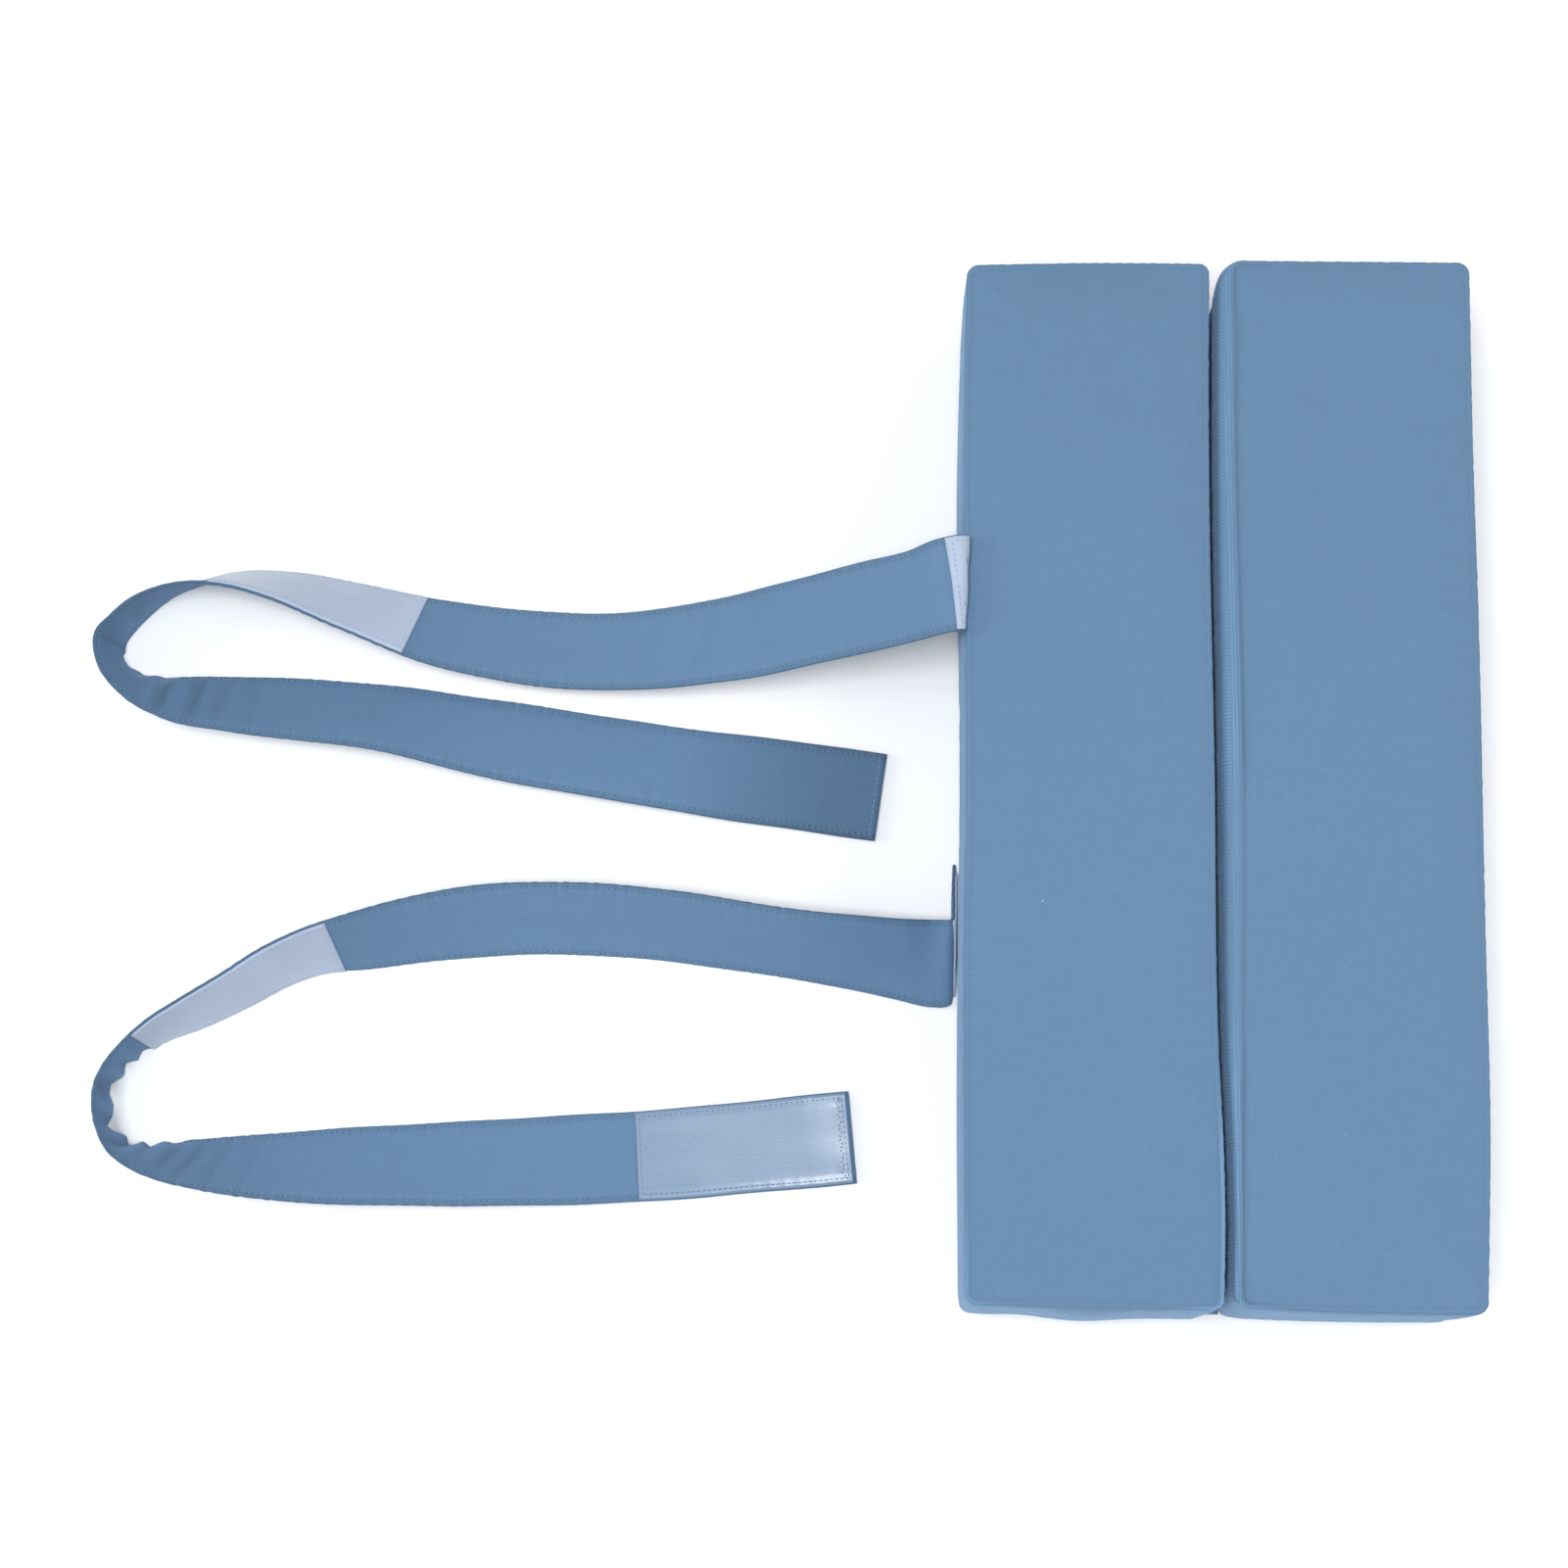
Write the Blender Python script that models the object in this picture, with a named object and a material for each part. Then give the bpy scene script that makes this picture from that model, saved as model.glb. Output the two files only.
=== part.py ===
"""Knee pillow: two foam blocks joined by a cloth hinge, and two fastening straps.

The pillow lies open on the floor with both straps looped out to the left.
Metres, Z up, floor at z = 0, X to the right and Y to the back of the photo.
"""
import bpy
import numpy as np

MM = 0.001

# Where the middle of the whole object lies, in the millimetres of the tables below
MIDDLE_X = -3.51
MIDDLE_Y = -14.90

# Foam blocks
BLOCK_HEIGHT = 100.0
SOUTH_Y = -264.0
NORTH_Y = 236.5
CORNER_RADIUS = 5.5
POINTS_ON_LONG_SIDE = 22
POINTS_ON_SHORT_SIDE = 7
POINTS_ON_CORNER = 4

# Sides of each block seen from above: the seam line, measured at stations along it
LEFT_WEST_X = (("y", "x"), (-266, 84.0), (-150, 85.2), (-88, 87.1), (-30, 88.4), (40, 88.6), (110, 87.8),
               (180, 88.8), (240, 90.6))
LEFT_EAST_X = (("y", "x"), (-266, 203.0), (-225, 204.6), (-190, 204.6), (-150, 203.5), (-12, 204.6),
               (93, 204.9), (170, 206.2), (240, 208.0))
LEFT_NORTH_Y = (("x", "y"), (84, 235.8), (146, 237.0), (210, 236.2))
LEFT_SOUTH_Y = (("x", "y"), (80, -261.8), (110, -262.4), (142, -263.0), (175, -263.6), (206, -264.2))
RIGHT_WEST_X = (("y", "x"), (-270, 210.2), (-210, 211.4), (-150, 213.9), (-70, 216.9), (-12, 218.4),
                (40, 219.0), (93, 218.5), (150, 218.7), (208, 219.6), (240, 218.8))
RIGHT_EAST_X = (("y", "x"), (-270, 321.0), (-229, 323.4), (-190, 325.6), (-95, 327.7), (-12, 329.3),
                (55, 330.2), (132, 331.1), (196, 332.4), (240, 333.2))
RIGHT_NORTH_Y = (("x", "y"), (214, 238.0), (275, 237.0), (336, 236.0))
RIGHT_SOUTH_Y = (("x", "y"), (206, -265.4), (250, -266.8), (290, -267.6), (324, -266.2))

# Upright section of a block from the middle of the base to the middle of the top
BLOCK_SECTION = (("inset", "z"), (50, 0.0), (22, 0.0), (7, 0.0), (2.4, 0.6), (0.8, 2.4), (0.2, 9),
                 (-0.8, 28), (-1.2, 50), (-0.9, 74), (0.0, 92), (0.5, 96.4), (0.1, 98.4), (0.9, 99.4),
                 (2.2, 98.9), (4.6, 99.5), (13, 100.6), (29, 101.6), (50, 102.0))

# Cloth hinge under the gap between the blocks
HINGE_THICKNESS = 2.0
HINGE_END_GAP = 2.0
CLEARANCE = 0.35

# Fastening straps and the hook-and-loop patches sewn on their inner face
STRAP_WIDTH = 45.0
STRAP_THICKNESS = 1.8
PATCH_THICKNESS = 0.8
PATCH_MARGIN = 1.6
PATCH_GAP = 0.3
SECTION_STEP = 9.0

# Each strap from its root at the foot of the wall to the fold: both edges of the strap
UPPER_ROOT = (("north x", "y", "z", "south x", "y", "z"),
              (84.6, 125.0, 4.0, 84.6, 78.5, 4.0),
              (84.5, 112.5, 50.0, 84.5, 66.0, 50.0),
              (84.6, 101.0, 94.0, 84.6, 54.5, 94.0),
              (85.2, 99.6, 100.6, 84.9, 53.0, 100.6),
              (87.2, 98.8, 104.4, 86.0, 52.2, 104.4),
              (89.2, 98.4, 106.2, 87.3, 51.8, 106.2),
              (87.7, 98.0, 108.0, 86.3, 51.4, 108.0),
              (84.0, 97.8, 108.1, 83.4, 51.2, 108.0),
              (77.4, 97.2, 105.6, 80.4, 50.6, 107.0))
LOWER_ROOT = (("north x", "y", "z", "south x", "y", "z"),
              (85.7, -42.0, 4.6, 84.9, -88.0, 1.6),
              (85.3, -57.0, 14.0, 83.9, -100.0, 2.0),
              (84.8, -69.0, 21.5, 82.6, -108.5, 2.4),
              (83.9, -72.6, 24.4, 81.0, -111.6, 2.6),
              (81.7, -73.4, 25.2, 78.8, -112.6, 2.4))

# Each strap from the fold to its free end: middle of the strap, height of its lower
# edge above the floor, and the turn about its own length (0 flat, 90 on edge)
UPPER_RUN = (("x", "y", "lift", "lean"),
             (62, 71.2, 94.0, -1), (40, 69.8, 79.5, -1), (20, 68.5, 66, 1), (0, 67.0, 52, 4),
             (-19, 65.8, 39, 7), (-39, 65.0, 28, 10), (-59, 64.3, 19, 13), (-99, 65.2, 7, 17),
             (-139, 69.6, 1.6, 22), (-178, 76.6, 0, 31), (-218, 88.0, 0, 45), (-256, 98.4, 0, 59),
             (-278, 101.0, 0, 67), (-297, 99.4, 0, 75), (-312, 95.0, 0, 80), (-326, 87.0, 0, 86),
             (-336, 77.0, 0, 89), (-339.6, 68.0, 0, 92), (-337.5, 57.5, 0, 98), (-331.5, 49.8, 0, 106),
             (-322, 44.6, 0, 118), (-308, 41.2, 0, 129), (-276, 38.0, 0, 140), (-237, 35.2, 0, 146),
             (-197, 31.0, 0, 150), (-158, 23.6, 0.2, 159), (-118, 16.8, 0.5, 165), (-79, 10.4, 1.0, 167),
             (-40, 4.4, 1.2, 172), (0, -0.6, 1.15, 177), (48.6, -7.5, 1.15, 180))
LOWER_RUN = (("x", "y", "lift", "lean"),
             (76.5, -93.0, 1.4, -27), (58, -91.2, 0.5, -36), (39, -88.6, 0, -43), (20, -86.2, 0, -48),
             (-19, -80.6, 0, -50), (-57, -75.0, 0, -48), (-96, -71.8, 0, -46.5), (-135, -71.9, 0, -47),
             (-173, -76.2, 0, -52), (-211, -84.6, 0, -61), (-230, -90.0, 0, -66), (-249, -97.6, 0, -71),
             (-268, -107.6, 0, -76), (-290, -119.6, 0, -80), (-306, -127.8, 0, -86),
             (-318, -136.6, 0, -91), (-327, -147.0, 0, -93), (-331.4, -157.5, 0, -94),
             (-331.6, -168.0, 0, -94), (-327.4, -178.4, 0, -90), (-320, -185.4, 0, -80),
             (-310, -189.2, 0, -70), (-298, -191.2, 0, -61), (-283, -192.4, 0, -54),
             (-247, -193.4, 0, -40), (-209, -192.8, 0, -29), (-171, -191.8, 0, -22),
             (-133, -190.4, 0, -16), (-95, -188.6, 0, -10), (-57, -186.2, 0.1, -4),
             (-19, -182.6, 0.2, -1), (7, -180.0, 0.1, 0), (34.6, -177.4, 0.05, 0))

# Patches: distance from the root of the strap, along its middle, to both ends of the patch
UPPER_PATCHES = (("name", "start", "end"), ("root_patch_upper", 14, 116),
                 ("middle_patch_upper", 409, 513), ("end_patch_upper", -101, -2))
LOWER_PATCHES = (("name", "start", "end"), ("root_patch_lower", 4, 28), ("middle_patch_lower", 336, 441),
                 ("end_patch_lower", -106, -2))


def rows(table):
    """Drop the heading of a table and give its numbers as an array."""
    return np.array(table[1:], dtype=float)


def side(table, at):
    """Smooth value of a side table at a station, by cubic interpolation between its rows."""
    data = rows(table)
    return smooth(data[:, 1:], data[:, 0], np.asarray(at, dtype=float))[:, 0]


def smooth(values, stations, at):
    """Cubic curve through the values, with each slope the mean of the two neighbouring ones."""
    step = np.diff(stations)[:, None]
    slope = np.diff(values, axis=0) / step
    middle = (slope[1:] * step[:-1] + slope[:-1] * step[1:]) / (step[1:] + step[:-1])
    tangent = np.vstack([slope[:1], middle, slope[-1:]])
    at = np.clip(at, stations[0], stations[-1])
    i = np.clip(np.searchsorted(stations, at, side="right") - 1, 0, len(stations) - 2)
    h = step[i]
    t = ((at - stations[i]) / h[:, 0])[:, None]
    return ((2 * t**3 - 3 * t**2 + 1) * values[i] + (t**3 - 2 * t**2 + t) * h * tangent[i]
            + (3 * t**2 - 2 * t**3) * values[i + 1] + (t**3 - t**2) * h * tangent[i + 1])


def place(points):
    """Table millimetres to metres about the middle of the object."""
    return (np.asarray(points, dtype=float) - (MIDDLE_X, MIDDLE_Y, 0.0)) * MM


def make_object(name, points, faces, material, smooth_angle):
    """Mesh object with faces turned outward, shaded smooth up to the given angle."""
    mesh = bpy.data.meshes.new(name)
    mesh.from_pydata([tuple(p) for p in place(points)], [], faces)
    obj = bpy.data.objects.new(name, mesh)
    bpy.context.scene.collection.objects.link(obj)
    mesh.validate()
    corner = np.array([[mesh.vertices[i].co[:] for i in (t.vertices[0], t.vertices[1], t.vertices[2])]
                       for t in triangles(mesh)])
    volume = np.einsum("ij,ij->i", corner[:, 0], np.cross(corner[:, 1], corner[:, 2])).sum()
    if volume < 0:
        mesh.flip_normals()
    mesh.materials.append(material)
    mesh.shade_smooth()
    mesh.set_sharp_from_angle(angle=np.radians(smooth_angle))
    return obj


def triangles(mesh):
    """Triangles of a mesh, ready to read."""
    mesh.calc_loop_triangles()
    return mesh.loop_triangles


def cloth(name, colour, roughness, sheen):
    """Plain cloth shading from a base colour, a roughness and a sheen weight."""
    material = bpy.data.materials.new(name)
    material.use_nodes = True
    shader = material.node_tree.nodes["Principled BSDF"]
    shader.inputs["Base Color"].default_value = (*colour, 1.0)
    shader.inputs["Roughness"].default_value = roughness
    shader.inputs["Sheen Weight"].default_value = sheen
    return material


def plan_ring(inset):
    """Rounded rectangle whose edge is moved inward by the inset.

    Each point is given as fractions across and along the plan and the millimetres left over.
    Towards the middle of a panel the short sides bow out, as a parabola that grows with the inset.
    """
    radius = max(CORNER_RADIUS - inset, 0.6)
    long_side = np.linspace(0, 1, POINTS_ON_LONG_SIDE + 1)[:-1]
    short_side = np.linspace(0, 1, POINTS_ON_SHORT_SIDE + 1)[:-1]
    turn = np.linspace(0, np.pi / 2, POINTS_ON_CORNER + 1)[:-1]
    keep = inset + radius
    bow = 0.5 * max(inset - CORNER_RADIUS, 0.0)
    points = []
    for fx0, fy0, fx1, fy1, run, start in ((1, 0, 1, 1, long_side, 0.0), (1, 1, 0, 1, short_side, 0.5),
                                           (0, 1, 0, 0, long_side, 1.0), (0, 0, 1, 0, short_side, 1.5)):
        angle = start * np.pi
        out = np.array([np.cos(angle), np.sin(angle)])
        for t in run:
            fx, fy = fx0 + (fx1 - fx0) * t, fy0 + (fy1 - fy0) * t
            swell = (2 * fy - 1) * bow * fx * (1 - fx) if fy0 == fy1 else 0.0
            points.append((fx, fy, keep * (1 - 2 * fx) + radius * out[0],
                           keep * (1 - 2 * fy) + radius * out[1] + swell))
        for a in turn:
            points.append((fx1, fy1, keep * (1 - 2 * fx1) + radius * np.cos(angle + a),
                           keep * (1 - 2 * fy1) + radius * np.sin(angle + a)))
    return np.array(points)


def block(name, west, east, north, south, material):
    """Filled cushion: rings of the plan, stacked along the upright section, closed at both ends."""
    section = rows(BLOCK_SECTION)
    rings = []
    for inset, z in section:
        ring = plan_ring(inset)
        y = SOUTH_Y + (NORTH_Y - SOUTH_Y) * ring[:, 1] + ring[:, 3]
        x0, x1 = side(west, y), side(east, y)
        x = x0 + (x1 - x0) * ring[:, 0] + ring[:, 2]
        y0, y1 = side(south, x), side(north, x)
        y = y0 + (y1 - y0) * ring[:, 1] + ring[:, 3]
        rings.append(np.column_stack([x, y, np.full(len(x), z * BLOCK_HEIGHT / 100.0)]))
    count = len(rings[0])
    points = np.vstack(rings)
    faces = []
    for level in range(len(rings) - 1):
        for i in range(count):
            j = (i + 1) % count
            below, above = level * count, (level + 1) * count
            faces.append((below + i, below + j, above + j, above + i))
    faces += cap(0, count)
    faces += [face[::-1] for face in cap((len(rings) - 1) * count, count)]
    return make_object(name, points, faces, material, 60)


def cap(first, count):
    """Close a long ring with rungs between its two long sides."""
    order = [first + (k - POINTS_ON_SHORT_SIDE // 2 - POINTS_ON_CORNER) % count for k in range(count)]
    return [(order[k], order[-1 - k], order[-2 - k], order[k + 1]) for k in range(count // 2 - 1)]


def run_edges(table):
    """Both edges of a strap in each row: across its path, turned by the lean, raised by the lift."""
    data = rows(table)
    path = data[:, :2]
    heading = np.vstack([path[1] - path[0], path[2:] - path[:-2], path[-1] - path[-2]])
    heading /= np.linalg.norm(heading, axis=1)[:, None]
    right = np.column_stack([heading[:, 1], -heading[:, 0], np.zeros(len(data))])
    lean = np.radians(data[:, 3])
    across = right * np.cos(lean)[:, None]
    across[:, 2] = -np.sin(lean)
    half_width = 0.5 * STRAP_WIDTH * np.abs(np.sin(lean))
    half_thickness = 0.5 * STRAP_THICKNESS * np.abs(np.cos(lean))
    height = data[:, 2] + half_width + half_thickness
    middle = np.column_stack([path, height])
    return np.hstack([middle + 0.5 * STRAP_WIDTH * across, middle - 0.5 * STRAP_WIDTH * across])


def strap_surface(root, run, patches):
    """Sections at even steps and at the patch ends, and the length along the strap at each.

    A section holds the north edge, the south edge, the direction across and the one out of the inner face.
    """
    edges = np.vstack([rows(root), run_edges(run)])
    middle = 0.5 * (edges[:, :3] + edges[:, 3:])
    chord = np.linalg.norm(np.diff(middle, axis=0), axis=1)
    station = np.concatenate([[0.0], np.cumsum(chord)])
    at = [0.0]
    for i, c in enumerate(chord):
        pieces = max(1, int(round(c / SECTION_STEP)))
        at += list(station[i] + c * np.arange(1, pieces + 1) / pieces)
    ends = patch_ends(patches, station[-1]).ravel()
    at = np.array([a for a in at if np.abs(ends - a).min() > 1.8 or a in (0.0, station[-1])])
    at = np.sort(np.concatenate([at, ends]))
    edges = smooth(edges, station, at)
    middle = 0.5 * (edges[:, :3] + edges[:, 3:])
    along = np.vstack([middle[1] - middle[0], middle[2:] - middle[:-2], middle[-1] - middle[-2]])
    across = edges[:, :3] - edges[:, 3:]
    across /= np.linalg.norm(across, axis=1)[:, None]
    out = np.cross(across, along)
    out /= np.linalg.norm(out, axis=1)[:, None]
    return np.hstack([edges, across, out]), at


def patch_ends(patches, length):
    """Start and end of each patch; a negative length counts from the free end of the strap."""
    ends = np.array([row[1:] for row in patches[1:]], dtype=float)
    return np.where(ends < 0, ends + length, ends)


def band(name, sections, low, high, margin, round_edge, material):
    """Closed ribbon between two offsets from the strap's middle surface, with rounded long edges."""
    across, out = sections[:, 6:9], sections[:, 9:12]
    north = sections[:, 0:3] - margin * across
    south = sections[:, 3:6] + margin * across
    centre = 0.5 * (low + high)
    loop = [north + out * centre,
            north - across * round_edge + out * high,
            south + across * round_edge + out * high,
            south + out * centre,
            south + across * round_edge + out * low,
            north - across * round_edge + out * low]
    return make_object(name, *tube(loop), material, 40)


def tube(loop):
    """Points and faces of a closed tube whose outline corners each follow a line of points.

    Upper and lower faces are split along the same diagonal, so that layers laid on each other nest.
    """
    count, sections = len(loop), len(loop[0])
    points = np.stack(loop, axis=1).reshape(-1, 3)
    faces = []
    for i in range(sections - 1):
        for j in range(count):
            k = (j + 1) % count
            a, b, c, d = i * count + j, i * count + k, (i + 1) * count + k, (i + 1) * count + j
            faces += [(a, b, c), (a, c, d)] if j < 3 else [(a, b, d), (b, c, d)]
    first = list(range(count))
    last = [(sections - 1) * count + j for j in first]
    for ring, flip in ((first, -1), (last, 1)):
        faces.append(tuple([ring[0], ring[1], ring[5]][::flip]))
        faces.append(tuple([ring[1], ring[2], ring[4], ring[5]][::flip]))
        faces.append(tuple([ring[2], ring[3], ring[4]][::flip]))
    return points, faces


def strap(name, root, run, patches, strap_material, patch_materials):
    """Strap ribbon and the three patches on its inner face."""
    sections, at = strap_surface(root, run, patches)
    half = 0.5 * STRAP_THICKNESS
    band(name, sections, -half, half, 0.0, 0.7, strap_material)
    low = half + PATCH_GAP
    for row, (start, end), material in zip(patches[1:], patch_ends(patches, at[-1]), patch_materials):
        under = sections[(at >= start) & (at <= end)]
        band(row[0], under, low, low + PATCH_THICKNESS, PATCH_MARGIN, 0.3, material)


def section_inset(z):
    """Inset of the block's wall at a height near its foot."""
    section = rows(BLOCK_SECTION)[2:6]
    return float(np.interp(z, section[:, 1], section[:, 0]))


def hinge(material):
    """Cloth strip along the gap, its edges following the feet of both blocks."""
    y = np.linspace(SOUTH_Y + HINGE_END_GAP, NORTH_Y - HINGE_END_GAP, 25)
    low, high = 0.1, 0.1 + HINGE_THICKNESS
    west_low = side(LEFT_EAST_X, y) - section_inset(low + 0.5) + CLEARANCE
    west_high = side(LEFT_EAST_X, y) - section_inset(high) + CLEARANCE
    east_low = side(RIGHT_WEST_X, y) + section_inset(low + 0.5) - CLEARANCE
    east_high = side(RIGHT_WEST_X, y) + section_inset(high) - CLEARANCE
    loop = [np.column_stack([x, y, np.full(len(y), z)])
            for x, z in ((west_low, low + 0.5), (west_high, high), (east_high, high),
                         (east_low, low + 0.5), (east_low - 0.6, low), (west_low + 0.6, low))]
    return make_object("hinge_cloth", *tube(loop), material, 40)


for old in list(bpy.data.objects):
    bpy.data.objects.remove(old)

cover_cloth = cloth("cover_cloth", (0.147, 0.287, 0.474), 0.86, 0.25)
strap_cloth = cloth("strap_cloth", (0.120, 0.245, 0.420), 0.86, 0.25)
loop_tape = cloth("loop_tape", (0.470, 0.540, 0.700), 0.90, 0.30)
hook_tape = cloth("hook_tape", (0.330, 0.450, 0.640), 0.35, 0.0)

block("cushion_left", LEFT_WEST_X, LEFT_EAST_X, LEFT_NORTH_Y, LEFT_SOUTH_Y, cover_cloth)
block("cushion_right", RIGHT_WEST_X, RIGHT_EAST_X, RIGHT_NORTH_Y, RIGHT_SOUTH_Y, cover_cloth)
hinge(cover_cloth)
strap("strap_upper", UPPER_ROOT, UPPER_RUN, UPPER_PATCHES, strap_cloth, (loop_tape, loop_tape, hook_tape))
strap("strap_lower", LOWER_ROOT, LOWER_RUN, LOWER_PATCHES, strap_cloth, (loop_tape, loop_tape, hook_tape))
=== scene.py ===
"""Knee pillow: two foam blocks in cloth covers, a cloth hinge, and two straps with hook-and-loop patches."""

import bpy
import numpy as np
from mathutils import Matrix


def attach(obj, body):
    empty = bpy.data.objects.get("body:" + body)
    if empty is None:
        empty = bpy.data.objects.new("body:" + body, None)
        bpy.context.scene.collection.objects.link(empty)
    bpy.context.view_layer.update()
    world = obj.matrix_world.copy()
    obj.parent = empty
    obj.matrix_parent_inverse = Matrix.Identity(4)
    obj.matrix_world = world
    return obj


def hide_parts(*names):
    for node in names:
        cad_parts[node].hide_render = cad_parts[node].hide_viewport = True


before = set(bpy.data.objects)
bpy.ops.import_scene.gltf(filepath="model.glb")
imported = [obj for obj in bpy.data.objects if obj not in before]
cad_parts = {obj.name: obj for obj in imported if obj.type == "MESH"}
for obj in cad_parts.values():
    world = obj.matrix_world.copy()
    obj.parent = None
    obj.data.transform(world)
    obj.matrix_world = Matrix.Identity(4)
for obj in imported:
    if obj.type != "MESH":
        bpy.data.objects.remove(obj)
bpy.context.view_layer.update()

scene = bpy.context.scene

# Camera, light and floor
# A 70 mm lens looks down from a metre and a half, a little in front of the pillow. A soft lamp hangs high
# above it, a lower one stands at each side and a small one hangs behind. The floor is pale and plain.
CAMERA_PLACE = (0.0463, -0.3012, 1.5000)
CAMERA_TILT, CAMERA_PAN = np.radians(11.9), np.radians(1.6)

camera = bpy.data.objects.new("camera", bpy.data.cameras.new("camera"))
camera.data.lens = 70.0
camera.data.sensor_width = 36.0
camera.data.clip_end = 20.0
camera.matrix_world = (Matrix.Translation(CAMERA_PLACE) @ Matrix.Rotation(CAMERA_TILT, 4, "X")
                       @ Matrix.Rotation(CAMERA_PAN, 4, "Y"))
scene.collection.objects.link(camera)
scene.camera = camera

scene.view_settings.view_transform = "Standard"
scene.world = bpy.data.worlds.new("studio")
scene.world.use_nodes = True
sky = scene.world.node_tree.nodes["Background"]
sky.inputs["Color"].default_value = (0.97, 0.985, 1.0, 1.0)
sky.inputs["Strength"].default_value = 0.44


def lamp(name, place, aim, size, power):
    """Square soft lamp at a place, turned so that its face looks at the aim."""
    light = bpy.data.objects.new(name, bpy.data.lights.new(name, "AREA"))
    light.data.size = size
    light.data.energy = power
    away = np.array(place, dtype=float) - np.array(aim, dtype=float)
    away /= np.linalg.norm(away)
    side = np.cross((0.0, 1.0, 0.0), away)
    side /= np.linalg.norm(side)
    turn = np.eye(4)
    turn[:3, 0], turn[:3, 1], turn[:3, 2], turn[:3, 3] = side, np.cross(away, side), away, place
    light.matrix_world = Matrix(turn.tolist())
    scene.collection.objects.link(light)


lamp("lamp_key", (-0.26, -0.54, 3.10), (0.05, 0.0, 0.0), 0.8, 62.0)
lamp("lamp_left", (-1.90, 0.05, 0.95), (0.0, 0.0, 0.0), 0.8, 8.5)
lamp("lamp_right", (1.40, -0.35, 1.50), (0.0, 0.0, 0.0), 1.0, 9.0)
lamp("lamp_back", (-0.42, 0.10, 2.40), (0.0, 0.0, 0.0), 0.25, 3.0)

floor_mesh = bpy.data.meshes.new("floor")
floor_mesh.from_pydata([(-4, -4, 0), (4, -4, 0), (4, 4, 0), (-4, 4, 0)], [], [(0, 1, 2, 3)])
floor = bpy.data.objects.new("floor", floor_mesh)
scene.collection.objects.link(floor)
floor_finish = bpy.data.materials.new("floor_paper")
floor_finish.use_nodes = True
paper = floor_finish.node_tree.nodes["Principled BSDF"]
paper.inputs["Base Color"].default_value = (0.96, 0.96, 0.96, 1.0)
paper.inputs["Roughness"].default_value = 0.9
floor.data.materials.append(floor_finish)


# Left cushion
# A long block of foam in a cover of fine blue plain weave. The top and base panels are sewn to one wall
# band, the seam allowance is a low ridge, and topstitching runs beside it. Tables are in millimetres.
MM = 0.001
MIDDLE = np.array([-3.51, -14.90, 0.0])
CORNER_RADIUS = 5.5
SIDE_SWELL = 0.6
ROLL_CLEARANCE, ROLL_START, ROLL_FADE = 3.4, 17.0, 14.0
SOUTH_Y, NORTH_Y = -264.0, 236.5
COVER_SECTION = (
    ("inset", "z", "roll"),
    (51, 0, 0), (20, 0, 0), (7, 0, 0), (3, 0.3, 0), (1.4, 1.2, 0), (0.9, 2.6, 0), (0.1, 4.2, 0.05),
    (-0.2, 9, 0.22), (-1, 28, 0.62), (-1.5, 50, 0.80), (-1.4, 74, 0.86), (-0.9, 86, 1), (-0.5, 92, 1),
    (-0.3, 95.8, 0.91), (0.2, 97.1, 0.82), (-0.2, 98, 0.70), (0, 98.9, 0.54), (0.8, 99.6, 0.42),
    (1.8, 99.7, 0.34), (2.6, 99.5, 0.28), (3.4, 99.7, 0.23), (5.2, 100, 0.14), (13, 100.7, 0), (29, 101.6, 0),
    (51, 102, 0))
WALL_FROM, WALL_TO = 2.6, 98.9
TOPSTITCH_INSET = 2.6
LEFT_WEST_X = (
    ("y", "x"),
    (-266, 86), (-150, 86.3), (-88, 87.1), (-30, 88.4), (40, 88.6), (110, 87.8), (180, 88.8), (240, 90.6))
LEFT_EAST_X = (
    ("y", "x"),
    (-266, 203), (-225, 204.6), (-190, 204.6), (-150, 203.5), (-12, 204.6), (93, 204.9), (170, 206.2),
    (240, 208))
LEFT_NORTH_Y = (("x", "y"), (84, 236.9), (146, 238.1), (210, 237.3))
LEFT_SOUTH_Y = (("x", "y"), (80, -261.8), (110, -262.4), (142, -263), (175, -263.6), (206, -264.2))
LEFT_CREASES = (
    ("x", "y", "angle", "length", "depth"),
    (206, 180, 4, 16, 0.35), (206, -60, -8, 18, 0.3), (92, 30, 0, 20, 0.25), (143, -264, 0, 19, -1.8),
    (112, -264, 0, 12, 0.6))
LEFT_EASES = (
    ("x", "y", "reach", "pale", "ribs"),
    (204, -235, 70, 1.6, 0.3), (85, -258, 10, 0.9, 0.2), (87, 60, 200, 0.15, 0.1))
COVER_BLUE = (0.112, 0.206, 0.332)
LINT_BLUE = (0.24, 0.36, 0.50, 1.0)
RIB_PITCH = 0.0017


def rows(table):
    """Numbers of a table, without its heading."""
    return np.array(table[1:], dtype=float)


def smooth(values, stations, at):
    """Cubic curve through the values, its slope at each the weighted mean of the neighbouring slopes."""
    step = np.diff(stations)[:, None]
    slope = np.diff(values, axis=0) / step
    middle = (slope[1:] * step[:-1] + slope[:-1] * step[1:]) / (step[1:] + step[:-1])
    tangent = np.vstack([slope[:1], middle, slope[-1:]])
    at = np.clip(at, stations[0], stations[-1])
    i = np.clip(np.searchsorted(stations, at, side="right") - 1, 0, len(stations) - 2)
    h = step[i]
    t = ((at - stations[i]) / h[:, 0])[:, None]
    return ((2 * t**3 - 3 * t**2 + 1) * values[i] + (t**3 - 2 * t**2 + t) * h * tangent[i]
            + (3 * t**2 - 2 * t**3) * values[i + 1] + (t**3 - t**2) * h * tangent[i + 1])


def side(table, at):
    """Place of a side of the block, read from its table by the cubic curve."""
    data = rows(table)
    return smooth(data[:, 1:], data[:, 0], at)[:, 0]


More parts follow.
